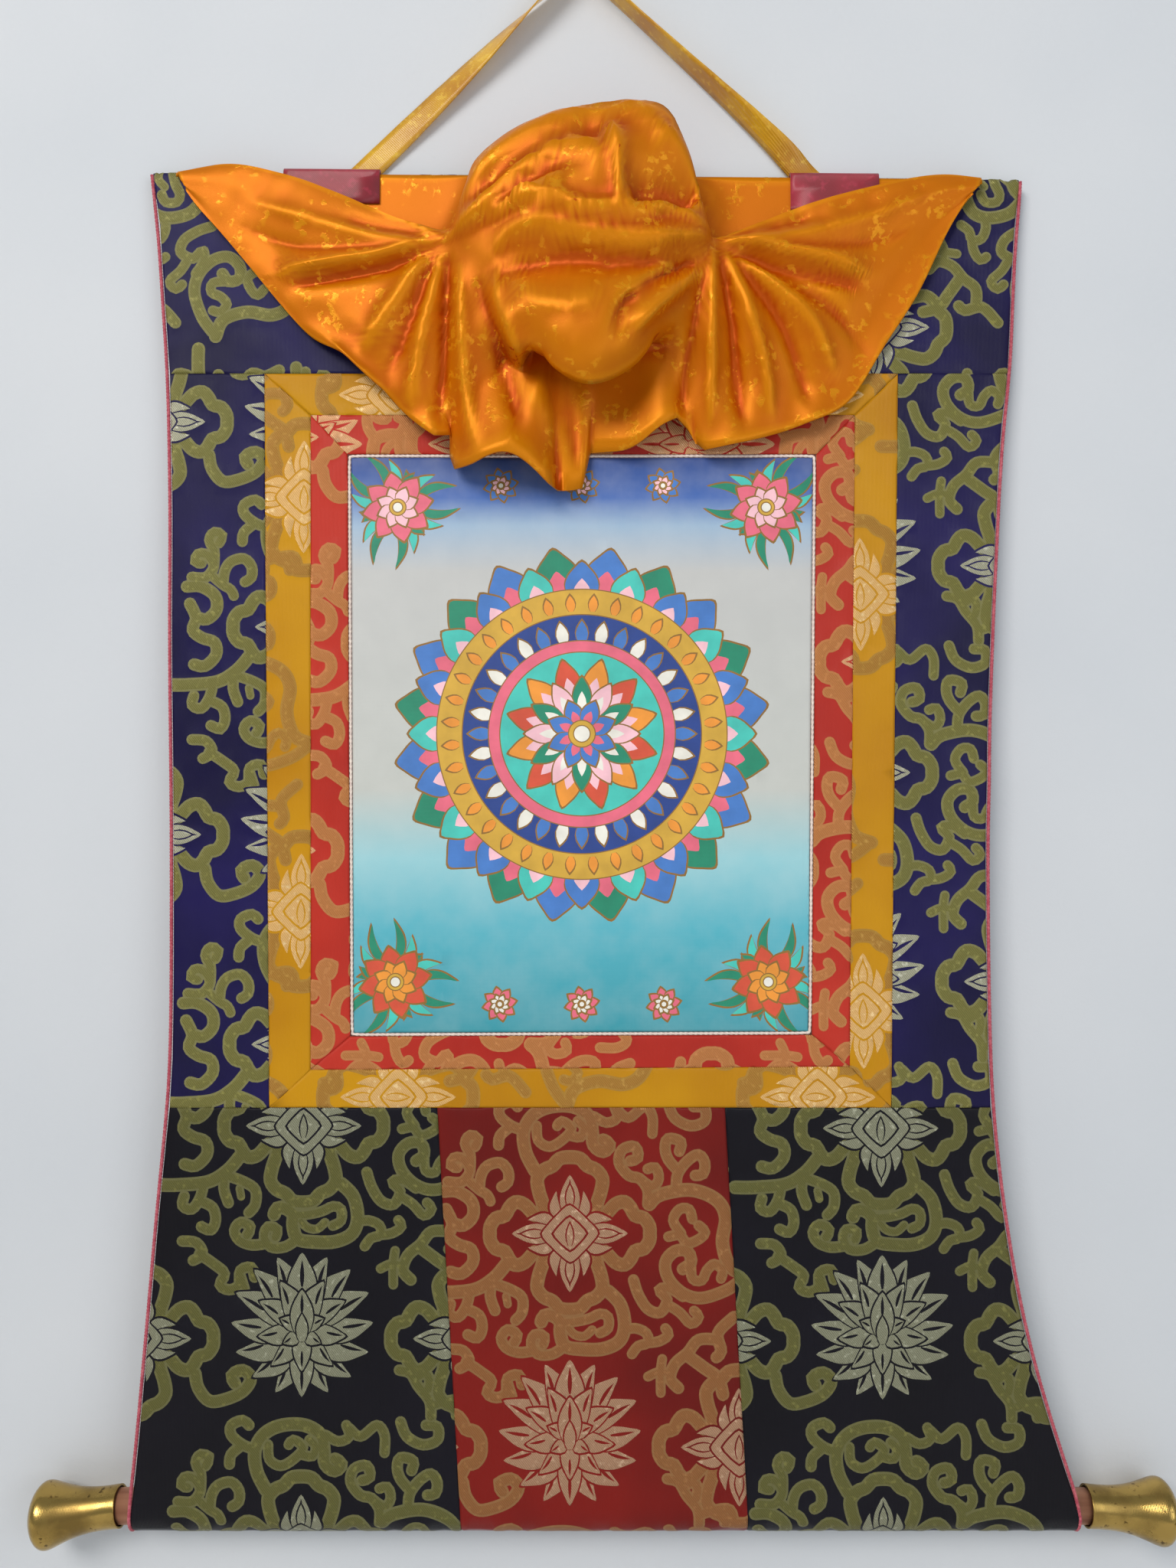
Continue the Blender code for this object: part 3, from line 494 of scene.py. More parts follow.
# Petals of the lotus, outermost first: x and z of the root, x and z of the tip, half width, bend.
# Those off the middle line stand on both sides.
LOTUS = (
    (4.0, -12.0, 17.0, -43.0, 7.5, 0.20),
    (6.0, -10.0, 32.0, -33.0, 8.0, 0.22),
    (8.0, -8.0, 43.0, -17.0, 8.0, 0.20),
    (8.0, -4.0, 46.0, 2.0, 8.5, 0.10),
    (8.0, 0.0, 43.0, 21.0, 9.0, -0.15),
    (8.0, 2.0, 31.0, 36.0, 9.0, -0.20),
    (5.0, 5.0, 16.0, 44.0, 9.0, -0.20),
    (0.0, -10.0, 0.0, -46.0, 8.0, 0.0),
    (0.0, 5.0, 0.0, 47.0, 10.5, 0.0),
    (4.0, -4.0, 20.0, -26.0, 6.5, 0.25),
    (4.0, -2.0, 29.0, -7.0, 7.0, 0.15),
    (4.0, 0.0, 28.0, 16.0, 7.5, -0.15),
    (4.0, 0.0, 14.0, 29.0, 7.5, -0.20),
    (0.0, -4.0, 0.0, -30.0, 6.5, 0.0),
    (2.0, -4.0, 13.0, -12.0, 5.0, 0.20),
    (2.0, -2.0, 15.0, 5.0, 5.5, -0.15),
    (0.0, -6.0, 0.0, 24.0, 8.0, 0.0),
    (0.0, -10.0, 0.0, 9.0, 4.5, 0.0),
)
# Petals of one arm of the crossed medallion, pointing up, and its heart.
CROSS_ARM = (
    (2.0, 8.0, 9.0, 28.0, 4.4, 0.45),
    (0.0, 10.0, 0.0, 38.0, 7.2, 0.0),
    (0.0, 16.0, 0.0, 32.0, 3.4, 0.0),
)
CROSS_HEART = ((0.0, 19.0), (5.0, 15.5), (9.0, 12.0), (13.0, 8.0), (16.5, 4.5), (19.0, 0.0))
VEIN = 0.9

GROUND, BAND, EDGE, METAL = range(4)


def curve_through(points, step=2.2, closed=False):
    """Points a step apart on a smooth curve through the given ones."""
    points = [np.array(point, float) for point in points]
    count = len(points)
    result = []
    for index in range(count if closed else count - 1):
        if closed:
            four = [points[(index + shift) % count] for shift in (-1, 0, 1, 2)]
        else:
            four = [points[min(max(index + shift, 0), count - 1)] for shift in (-1, 0, 1, 2)]
        before, start, end, after = four
        pieces = max(int(round(np.linalg.norm(end - start) / step)), 1)
        for part in range(pieces):
            t = part / pieces
            result.append(
                0.5 * (
                    2 * start + (end - before) * t
                    + (2 * before - 5 * start + 4 * end - after) * t ** 2
                    + (3 * start - before - 3 * end + after) * t ** 3
                )
            )
    if not closed:
        result.append(points[-1])
    return np.array(result)


def petal(root_x, root_z, tip_x, tip_z, half, bend):
    """Pointed leaf outline from its root to its tip, bowed to one side by bend."""
    root = np.array((root_x, root_z))
    along = np.array((tip_x, tip_z)) - root
    across = np.array((along[1], -along[0])) / np.linalg.norm(along)
    bow = across * bend * np.linalg.norm(along) * 0.5
    sides = ([], [])
    for fraction, width in ((0.0, 0.45), (0.2, 0.85), (0.42, 1.0), (0.65, 0.82), (0.85, 0.42)):
        middle = root + along * fraction + bow * math.sin(math.pi * fraction)
        sides[0].append(middle + across * half * width)
        sides[1].append(middle - across * half * width)
    outline = sides[0] + [root + along] + sides[1][::-1]
    return curve_through(outline, 2.6, closed=True)


def mirrored(points):
    return points[::-1] * np.array((-1.0, 1.0))


def turned(points, quarter):
    for _ in range(quarter):
        points = np.stack([points[:, 1], -points[:, 0]], axis=1)
    return points


def veined(root_x, root_z, tip_x, tip_z, half, bend, line, fill):
    """A petal in one colour inside a thin line of another, with a slit down its middle."""
    along = np.array((tip_x - root_x, tip_z - root_z))
    length = np.linalg.norm(along)
    inner_tip = np.array((root_x, root_z)) + along * (1 - 1.8 * VEIN / length)
    shapes = [
        (petal(root_x, root_z, tip_x, tip_z, half, bend), line),
        (petal(root_x, root_z, *inner_tip, half - VEIN, bend), fill),
    ]
    if half > 4.8:
        slit = (np.array((root_x, root_z)) + along * 0.46, np.array((root_x, root_z)) + along * 0.86)
        shapes.append((petal(*slit[0], *slit[1], half * 0.13, bend * 0.4), line))
    return shapes


def lotus_shapes():
    """Outlines of the lotus's petals, each with its class, back to front."""
    shapes = []
    for values in LOTUS:
        for outline, kind in veined(*values, GROUND, METAL):
            shapes.append((outline, kind))
            if values[2]:
                shapes.append((mirrored(outline), kind))
    return shapes


def cross_shapes():
    shapes = []
    for quarter in range(4):
        for values in CROSS_ARM:
            for outline, kind in veined(*values, GROUND, METAL):
                shapes.append((turned(outline, quarter), kind))
                if values[2]:
                    shapes.append((turned(mirrored(outline), quarter), kind))
    corner = np.array(CROSS_HEART)
    heart = np.concatenate([turned(corner[:-1], index) for index in range(4)])
    for size, kind in ((1.0, GROUND), (0.93, METAL), (0.62, GROUND), (0.54, METAL)):
        shapes.append((curve_through(heart * size, 2.6, closed=True), kind))
    shapes.extend(veined(0.0, -7.5, 0.0, 8.0, 3.0, 0.0, GROUND, METAL))
    return shapes


def medallion_frame():
    quarter = np.array(FRAME_QUARTER)
    right = np.concatenate([quarter, (quarter[:-1] * np.array((1.0, -1.0)))[::-1]])
    left = (right[1:-1] * np.array((-1.0, 1.0)))[::-1]
    return curve_through(np.concatenate([right, left]), 2.2, closed=True)


def repeat_unit():
    """Strokes, as (half width, points, closed), and metal shapes of one repeat."""
    frame_line = medallion_frame()
    strokes = [(half * FULLNESS, curve_through(points), False) for half, *points in SCROLLS]
    shapes = cross_shapes()
    strokes.append((FRAME_HALF, frame_line, True))
    corner = np.array((REPEAT_X / 2, -REPEAT_Z / 2))
    strokes.append((FRAME_HALF, frame_line + corner, True))
    shapes.extend((outline + corner, kind) for outline, kind in cross_shapes())
    lotus_place = np.array((0.0, -LOTUS_DROP))
    shapes.extend((outline + lotus_place, kind) for outline, kind in lotus_shapes())
    return strokes, shapes


REPEAT = repeat_unit()


def offset_line(points, distance, closed):
    ahead = np.roll(points, -1, axis=0) if closed else np.vstack([points[1:], 2 * points[-1] - points[-2]])
    behind = np.roll(points, 1, axis=0) if closed else np.vstack([2 * points[0] - points[1], points[:-1]])
    along = ahead - behind
    along = along / np.maximum(np.linalg.norm(along, axis=1, keepdims=True), 1e-9)
    across = np.stack([along[:, 1], -along[:, 0]], axis=1)
    return points + across * distance


def stroke_outlines(half, points, closed):
    """Closed outlines at the band's edge and inside its rim."""
    loops = []
    for width in (half, half - RIM):
        right = offset_line(points, width, closed)
        left = offset_line(points, -width, closed)
        if closed:
            loops.extend([right, left])
            continue
        caps = []
        for end, inner in ((points[-1], points[-2]), (points[0], points[1])):
            heading = math.atan2(*(end - inner)[::-1])
            angles = heading + np.linspace(-math.pi / 2, math.pi / 2, 7)[1:-1]
            caps.append(end + width * np.stack([np.cos(angles), np.sin(angles)], axis=1))
        loops.append(np.concatenate([right, caps[0], left[::-1], caps[1]]))
    return loops


def depth_in_strokes(targets, strokes):
    """For each target, how far it is inside the nearest stroke; negative outside them."""
    best = np.full(len(targets), -1e9)
    for half, points, closed in strokes:
        low, high = points.min(axis=0) - half, points.max(axis=0) + half
        near = np.flatnonzero(((targets > low) & (targets < high)).all(axis=1))
        if not len(near):
            continue
        starts = points if closed else points[:-1]
        along = (np.roll(points, -1, axis=0) if closed else points[1:]) - starts
        length = np.maximum((along ** 2).sum(axis=1), 1e-9)
        offset = targets[near, None, :] - starts
        t = np.clip((offset * along).sum(axis=2) / length, 0, 1)
        gap = np.linalg.norm(offset - along * t[..., None], axis=2).min(axis=1)
        best[near] = np.maximum(best[near], half - gap)
    return best


def inside(targets, outline):
    """Whether each target is inside a closed outline."""
    result = np.zeros(len(targets), bool)
    low, high = outline.min(axis=0), outline.max(axis=0)
    near = np.flatnonzero(((targets >= low) & (targets <= high)).all(axis=1))
    if not len(near):
        return result
    x, y = targets[near, 0, None], targets[near, 1, None]
    before = np.roll(outline, 1, axis=0)
    rise = before[:, 1] - outline[:, 1]
    slope = (before[:, 0] - outline[:, 0]) / np.where(rise == 0, 1e-12, rise)
    crosses = (outline[:, 1] > y) != (before[:, 1] > y)
    crosses &= x < slope * (y - outline[:, 1]) + outline[:, 0]
    result[near] = crosses.sum(axis=1) % 2 == 1
    return result


def filled(outline, lines):
    """Points and triangles that fill a closed outline, with every closed line kept as edges."""
    low, high = outline.min(axis=0), outline.max(axis=0)
    across = np.arange(low[0] + LATTICE / 2, high[0], LATTICE)
    up = np.arange(low[1] + LATTICE / 2, high[1], LATTICE)
    grid = np.stack(np.meshgrid(across, up), axis=-1).reshape(-1, 2)
    coordinates = [outline, *lines]
    edges = []
    total = 0
    for line in coordinates:
        count = len(line)
        edges.extend((total + index, total + (index + 1) % count) for index in range(count))
        total += count
    coordinates.append(grid[inside(grid, outline)])
    flat = [Vector(point) for point in np.concatenate(coordinates).tolist()]
    made = delaunay_2d_cdt(flat, edges, [], 0, 1e-3, False)
    points = np.array([tuple(point) for point in made[0]])
    faces = np.array(made[2])
    faces = faces[inside(points[faces].mean(axis=1), outline)]
    used = np.unique(faces)
    renumber = np.zeros(len(points), int)
    renumber[used] = np.arange(len(used))
    return points[used], renumber[faces]


def laid(name, points, faces, lift, materials, classes):
    """A flat filled outline, in millimetres, laid on the hanging cloth as a thick sheet. The
    last material is that of its back."""
    shown = place(points[:, 0] * MM, points[:, 1] * MM, lift)
    first, second, third = points[faces[0]]
    if np.linalg.det([second - first, third - first]) < 0:
        faces = faces[:, ::-1]
    return thicken(mesh_piece(name, shown, faces, materials, classes), len(materials))


def grown(outline, distance):
    """A closed outline moved outward."""
    after = np.roll(outline, -1, axis=0)
    turning = (outline[:, 0] * after[:, 1] - after[:, 0] * outline[:, 1]).sum()
    return offset_line(outline, distance if turning > 0 else -distance, True)


def edge_distance(points, outline):
    return np.abs(depth_in_strokes(points, [(3.0, outline, True)]) - 3.0)


def pattern_mesh(name, outline, origin, across, materials):
    """A sewn panel: its flat outline, in metres, filled with the brocade repeat whose medallion
    stands at origin. across says that the cloth is cut with its length running sideways."""
    outline = np.array(outline, float) / MM
    origin = np.array(origin, float) / MM
    if across:
        outline, origin = turned(outline, 3), turned(origin[None], 3)[0]
    outline = grown(outline, SEAM_LAP)
    low, high = outline.min(axis=0), outline.max(axis=0)
    unit_strokes, unit_shapes = REPEAT
    first = np.floor((low - origin) / (REPEAT_X, REPEAT_Z)).astype(int) - 1
    last = np.ceil((high - origin) / (REPEAT_X, REPEAT_Z)).astype(int) + 1
    lines = [grown(outline, -SEAM_ROLL)]
    strokes = []
    shapes = []

    def near(points, margin):
        return (points.max(axis=0) > low - margin).all() and (points.min(axis=0) < high + margin).all()

    for i in range(first[0], last[0] + 1):
        for j in range(first[1], last[1] + 1):
            shift = origin + np.array((i * REPEAT_X, j * REPEAT_Z))
            for half, points, closed in unit_strokes:
                if near(points + shift, half):
                    strokes.append((half, points + shift, closed))
                    lines.extend(stroke_outlines(half, points + shift, closed))
            for points, kind in unit_shapes:
                if near(points + shift, 0.0):
                    shapes.append((points + shift, kind))
                    lines.append(points + shift)
    points, faces = filled(outline, lines)
    centres = points[faces].mean(axis=1)
    depth = depth_in_strokes(centres, strokes)
    classes = np.where(depth > RIM * 0.98, BAND, np.where(depth > 0, EDGE, GROUND))
    for shape, kind in shapes:
        classes[inside(centres, shape)] = kind
    lift = np.clip(depth_in_strokes(points, strokes) / RIM, 0, 1)
    lift[faces[classes == METAL].ravel()] = 1.0
    sewn_down = np.clip(1 - edge_distance(points, outline) / SEAM_ROLL, 0, 1)
    lift = lift * RAISED - sewn_down * SEWN_DOWN
    if across:
        points = turned(points, 1)
    return laid(name, points, faces, lift, materials, classes)


# ---------------------------------------------------------------- brocade materials

def ground_cloth(name, colour, deep):
    """Satin ground: fine warp ridges, a slow change of shade, a soft shine."""
    cloth = Shader(name, colour, 0.42, Sheen_Weight=0.02, Specular_IOR_Level=0.18)
    shade = cloth.remap(cloth.noise(9.0, 3.0), 0.35, 0.65, 0.0, 1.0)
    cloth.colour(cloth.blend(shade, deep, colour))
    weave = cloth.math("ADD", cloth.ribs(0.0006), cloth.noise(900.0, 2.0))
    cloth.bump(weave, 0.00012, 0.6)
    cloth.roughness(cloth.remap(cloth.noise(60.0, 2.0), 0.3, 0.7, 0.36, 0.50))
    return cloth.material


def thread_band(name, colour, bright, metallic, pitch=0.0011):
    """Supplementary weft that floats over the ground in slanting ridges."""
    cloth = Shader(name, colour, 0.46, Metallic=metallic, Sheen_Weight=0.03)
    slant = cloth.ribs(pitch, (0.0, math.radians(38), 0.0), 0.6)
    glint = cloth.remap(cloth.noise(320.0, 2.0), 0.56, 0.72, 0.0, 1.0)
    mixed = cloth.math("MAXIMUM", cloth.math("MULTIPLY", slant, 0.45), glint)
    cloth.colour(cloth.blend(mixed, colour, bright))
    cloth.bump(cloth.math("ADD", slant, cloth.noise(700.0, 2.0)), 0.00022, 0.8)
    cloth.roughness(cloth.remap(glint, 0.0, 1.0, 0.5, 0.3))
    return cloth.material


def reverse_cloth(name, ground, thread):
    """The back of a cloth: dull ground with short floats of the pattern's thread."""
    cloth = Shader(name, ground, 0.75, Sheen_Weight=0.05, Specular_IOR_Level=0.2)
    floats = cloth.noise(240.0, 2.0, (0.12, 1.0, 1.0))
    cloth.colour(cloth.blend(cloth.remap(floats, 0.50, 0.68, 0.0, 0.75), ground, thread))
    cloth.bump(cloth.math("ADD", floats, cloth.ribs(0.0008)), 0.00025, 0.7)
    return cloth.material


def brocade_set(name, ground, deep, band, band_bright, rim, metal, metal_bright):
    return (
        ground_cloth(name + "_ground", srgb(*ground), srgb(*deep)),
        thread_band(name + "_band", srgb(*band), srgb(*band_bright), 0.25),
        thread_band(name + "_rim", srgb(*rim), srgb(*band_bright), 0.3, 0.0007),
        thread_band(name + "_metal", srgb(*metal), srgb(*metal_bright), 0.35),
        reverse_cloth(name + "_reverse", srgb(*ground), srgb(*band)),
    )


def make_brocades():
    return {
        "navy": brocade_set(
            "navy", (28, 20, 78), (17, 12, 52), (98, 94, 36), (138, 133, 68),
            (124, 120, 76), (140, 138, 114), (196, 194, 172),
        ),
        "dark": brocade_set(
            "dark", (11, 8, 20), (6, 4, 12), (78, 76, 23), (116, 112, 52),
            (100, 98, 60), (112, 112, 88), (164, 164, 140),
        ),
        "red": brocade_set(
            "red", (122, 20, 12), (98, 13, 8), (130, 78, 30), (156, 106, 56),
            (142, 100, 56), (154, 112, 82), (190, 154, 124),
        ),
        "yellow": brocade_set(
            "yellow", (194, 138, 8), (176, 118, 5), (154, 104, 22), (182, 138, 58),
            (170, 124, 44), (206, 156, 84), (234, 200, 144),
        ),
        "scarlet": brocade_set(
            "scarlet", (186, 50, 36), (162, 36, 26), (172, 106, 50), (196, 130, 72),
            (188, 124, 70), (202, 144, 96), (224, 180, 138),
        ),
    }


# ---------------------------------------------------------------- sewn panels

def corners(name):
    """Top left, top right, bottom right and bottom left of a four-sided panel, flat."""
    low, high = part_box(name)
    centre = (low + high) / 2
    half = (high - low) / 2
    found = []
    for side_x, side_z in ((-1, 1), (1, 1), (1, -1), (-1, -1)):
        best = max(
            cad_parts[name].data.vertices,
            key=lambda v: side_x * (v.co.x - centre.x) / half.x + side_z * (v.co.z - centre.z) / half.z,
        )
        found.append((best.co.x, best.co.z))
    return found


def along(start, end, pieces):
    start, end = np.array(start), np.array(end)
    return [tuple(start + (end - start) * part / pieces) for part in range(pieces)]


def four_sided(name, step=0.012):
    points = corners(name)
    outline = []
    for index, point in enumerate(points):
        following = points[(index + 1) % 4]
        length = math.dist(point, following)
        outline.extend(along(point, following, max(int(length / step), 1)))
    return outline


def side_points(side, start_z, end_z, step=0.010):
    count = max(int(abs(end_z - start_z) / step), 1)
    heights = np.linspace(start_z, end_z, count + 1)
    return [(lie.side_x(z, side), z) for z in heights]


def strip_outline(name, side):
    """Side strip: curved on the scroll's edge, straight at the yellow border."""
    top_left, top_right, bottom_right, bottom_left = corners(name)
    if side < 0:
        inner = along(top_right, bottom_right, 30) + [bottom_right]
        outer = side_points(side, bottom_left[1], top_left[1])
    else:
        inner = side_points(side, top_right[1], bottom_right[1])
        outer = along(bottom_left, top_left, 30) + [top_left]
    return inner + outer


def top_outline():
    low_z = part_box("navy_top_panel")[0].z
    left = side_points(-1, low_z, top_z(-TOP_SOUND) - 0.003)
    right = side_points(1, top_z(TOP_SOUND) - 0.003, low_z)
    turn = math.pi * FOLD_RADIUS + FOLD_BACK - FOLD_RADIUS
    over = [(x, top_z(x) + turn) for x in np.linspace(left[-1][0], right[0][0], 46)]
    rise = [(left[-1][0], top_z(left[-1][0]) + part * turn) for part in (0.0, 0.15, 0.3, 0.6)]
    fall = [(right[0][0], top_z(right[0][0]) + part * turn) for part in (0.6, 0.3, 0.15, 0.0)]
    return left + rise + over + fall + right


def seam_line(name, side):
    """Lower seam of a panel: its x at the top, and at the rod, on one side."""
    found = {}
    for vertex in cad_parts[name].data.vertices:
        key = round(vertex.co.z, 5)
        if vertex.co.y < ROD_Y and vertex.co.z > ROD_Z + 0.0005:
            value = found.get(key, vertex.co.x)
            found[key] = min(value, vertex.co.x) if side < 0 else max(value, vertex.co.x)
    heights = sorted(found)
    return (found[heights[-1]], heights[-1]), (found[heights[0]], heights[0])


def lower_outline(name, sides):
    """Lower panel, flat: down to the rod, round it and up its back. sides says which of its
    left and right is the scroll's own edge."""
    high_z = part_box(name)[1].z
    turn = LEAVES_ROD * SLEEVE_RADIUS
    end_z = ROD_Z - turn - TAIL_LENGTH
    columns = []
    for side, at_edge in zip((-1, 1), sides):
        if at_edge:
            column = side_points(side, high_z, ROD_Z)
        else:
            top, bottom = seam_line(name, side)
            slope = (bottom[0] - top[0]) / (bottom[1] - top[1])
            column = [(top[0] + slope * (z - top[1]), z) for z in np.linspace(high_z, ROD_Z, 26)]
        x = column[-1][0]
        round_rod = np.linspace(ROD_Z, ROD_Z - turn, 18)[1:]
        down = np.concatenate([round_rod, np.linspace(ROD_Z - turn, end_z, 5)[1:]])
        for v in down:
            height = place(x, v)[2]
            within = at_edge and height > ROD_Z
            column.append((lie.side_x(height, side) - side * 0.0008 if within else x, v))
        columns.append(column)
    left, right = columns
    top = along(left[0], right[0], 20)[1:]
    bottom = along(right[-1], left[-1], 20)[1:]
    return [left[0]] + top + right + bottom + left[:0:-1]


# Where the pattern's medallion stands on each panel: node, brocade, x, z, and whether the cloth
# is cut with its length running across the scroll.
PATTERNS = (
    ("navy_top_panel", "navy", -0.2075, -0.3420, True),
    ("navy_left_strip", "navy", -0.1700, -0.4300, False),
    ("navy_right_strip", "navy", 0.1750, -0.5230, False),
    ("navy_lower_left_panel", "dark", -0.1730, -0.7460, False),
    ("red_lower_centre_panel", "red", -0.0050, -0.8130, False),
    ("navy_lower_right_panel", "dark", 0.1910, -0.7475, False),
    ("yellow_border_top", "yellow", 0.0150, -0.1740, True),
    ("yellow_border_bottom", "yellow", 0.0190, -0.6220, True),
    ("yellow_border_left", "yellow", -0.2818, -0.2136, False),
    ("yellow_border_right", "yellow", 0.0746, -0.2765, False),
    ("red_border_top", "scarlet", -0.0600, -0.3120, True),
    ("red_border_bottom", "scarlet", -0.0480, -0.6450, True),
    ("red_border_left", "scarlet", -0.0970, -0.4400, False),
    ("red_border_right", "scarlet", 0.0985, -0.3197, False),
)


def make_panels(brocades):
    for name, brocade, x, z, across in PATTERNS:
        if name == "navy_top_panel":
            outline = top_outline()
        elif "strip" in name:
            outline = strip_outline(name, -1 if "left" in name else 1)
        elif "lower" in name:
            outline = lower_outline(name, ("left" in name, "right" in name))
        else:
            outline = four_sided(name)
        piece = pattern_mesh(name + "_cloth", outline, (x, z), across, brocades[brocade])
        stands_for(name)


# ---------------------------------------------------------------- pieces smoothed from the frame

RIM_EDGE = 0.0017
SHARP = math.radians(52)


def soft_copy(node, levels, materials, shape=None):
    """A finer, rounder copy of a node's solid. Its thin rims stay where they are. shape may
    move the points of the finished mesh."""
    shell = bmesh.new()
    shell.from_mesh(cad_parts[node].data)
    bmesh.ops.remove_doubles(shell, verts=shell.verts, dist=0.00002)
    flat = math.radians(60)
    bmesh.ops.join_triangles(
        shell, faces=shell.faces, angle_face_threshold=flat, angle_shape_threshold=flat
    )
    crease = shell.edges.layers.float.new("crease_edge")
    for edge in shell.edges:
        at_rim = any(
            min(side.calc_length() for side in face.edges) < RIM_EDGE for face in edge.link_faces
        )
        limit = math.radians(36) if at_rim else SHARP
        if edge.calc_face_angle(0.0) > limit:
            edge[crease] = 1.0
    mesh = bpy.data.meshes.new(node + "_rough")
    shell.to_mesh(mesh)
    shell.free()
    rough = bpy.data.objects.new(node + "_rough", mesh)
    bpy.context.scene.collection.objects.link(rough)
    finer = rough.modifiers.new("finer", "SUBSURF")
    finer.levels = finer.render_levels = levels
    view = rough.evaluated_get(bpy.context.evaluated_depsgraph_get())
    smooth = bpy.data.meshes.new_from_object(view)
    bpy.data.objects.remove(rough)
    bpy.data.meshes.remove(mesh)
    smooth.materials.clear()
    smooth.name = node + "_look"
    if shape:
        points = np.empty(len(smooth.vertices) * 3, np.float32)
        smooth.vertices.foreach_get("co", points)
        smooth.vertices.foreach_set("co", shape(points.reshape(-1, 3).astype(float)).ravel())
    smooth.shade_smooth()
    smooth.set_sharp_from_angle(angle=math.radians(55))
    piece = bpy.data.objects.new(node + "_look", smooth)
    link(piece, *materials)
    stands_for(node)
    return piece


# ---------------------------------------------------------------- veil

# Folds of the drawn-up veil, in millimetres: height of the ridge, or less than nothing for a
# furrow, how wide it is on the left and on the right of its line, then points across and up.
FOLDS = (
    (8, 11, 5, (-82, -178), (-59, -155), (-37, -138), (-9, -126), (15, -119), (35, -119), (49, -127),
     (53, -140)),
    (-7, 5, 5, (-70, -180), (-46, -158), (-22, -144), (6, -133), (32, -131)),
    (10, 9, 4, (-78, -185), (-52, -171), (-33, -156), (-16, -145), (-2, -142), (9, -148), (13, -160)),
    (-7, 4, 5, (-64, -184), (-40, -170), (-18, -156), (-2, -154)),
    (6, 7, 6, (-40, -180), (-22, -170), (-8, -164)),
    (11, 8, 3, (12, -128), (20, -137), (24, -153), (25, -178)),
    (-18, 13, 11, (28, -170), (44, -162), (60, -162), (74, -172)),
    (7, 7, 5, (82, -178), (74, -156), (62, -138), (48, -128)),
    (11, 6, 3, (-84, -189), (-59, -182), (-34, -178), (-14, -181), (7, -185), (35, -184), (57, -179),
     (80, -184)),
    (10, 7, 5, (-52, -203), (-42, -194), (-22, -192), (2, -197), (35, -199), (63, -195), (80, -190)),
    (-8, 5, 6, (-50, -219), (-30, -216), (-4, -213), (22, -215), (46, -213), (70, -205)),
    (8, 5, 6, (-49, -214), (-49, -234), (-40, -254), (-26, -270)),
    (-12, 5, 3, (72, -206), (56, -218), (42, -230), (28, -244), (21, -260)),
    (9, 3, 7, (76, -212), (62, -226), (48, -240), (34, -256)),
    (6, 12, 8, (-40, -222), (-24, -236), (-2, -240), (16, -232)),
    (8, 9, 3, (-192, -206), (-156, -201), (-124, -196), (-92, -188)),
    (-6, 4, 4, (-182, -213), (-150, -208), (-120, -203), (-94, -195)),
    (4, 5, 3, (-130, -160), (-108, -172), (-90, -186)),
    (-3, 4, 4, (-150, -172), (-118, -180), (-92, -188)),
    (3, 5, 5, (-206, -160), (-164, -174), (-126, -184), (-94, -189)),
    (-3, 5, 5, (-216, -174), (-176, -189), (-132, -191), (-96, -191)),
    (7, 7, 4, (-136, -256), (-112, -222), (-94, -196)),
    (-7, 4, 4, (-120, -268), (-104, -232), (-90, -198)),
    (8, 5, 5, (-106, -292), (-96, -240), (-86, -198)),
    (-9, 4, 4, (-88, -298), (-84, -250), (-82, -200)),
    (9, 6, 6, (-60, -322), (-68, -300), (-72, -250), (-74, -204)),
    (-7, 5, 5, (-34, -312), (-40, -292), (-52, -250), (-62, -216)),
    (6, 5, 5, (-8, -332), (-14, -310), (-32, -270), (-46, -234)),
    (-5, 4, 4, (0, -330), (-4, -300), (-12, -284)),
    (8, 3, 9, (186, -208), (158, -198), (120, -191), (92, -187)),
    (-6, 4, 4, (178, -214), (132, -204), (94, -194)),
    (4, 3, 5, (136, -160), (110, -172), (90, -185)),
    (-3, 4, 4, (150, -170), (124, -178), (92, -187)),
    (3, 5, 5, (220, -154), (190, -168), (140, -182), (96, -189)),
    (-3, 5, 5, (214, -176), (170, -188), (98, -191)),
    (8, 5, 5, (84, -300), (84, -240), (85, -194)),
    (-9, 4, 4, (104, -302), (97, -240), (90, -196)),
    (8, 6, 5, (124, -300), (114, -250), (94, -196)),
    (-7, 4, 4, (146, -286), (130, -240), (96, -196)),
    (7, 6, 5, (166, -274), (144, -232), (99, -194)),
    (-5, 5, 5, (186, -256), (158, -226), (102, -194)),
    (-5, 4, 4, (64, -300), (70, -260), (78, -212)),
)
# The bulge between the two gathers: its middle, half width and foot, in metres.
BULGE_X = 0.005
BULGE_Z = -0.195
BULGE_HALF = 0.075
BULGE_LOW = -0.290
# How crumpled the silk is: height and size of the wrinkles, in metres.
CRUMPLE = ((0.0010, 0.030), (0.0005, 0.012))


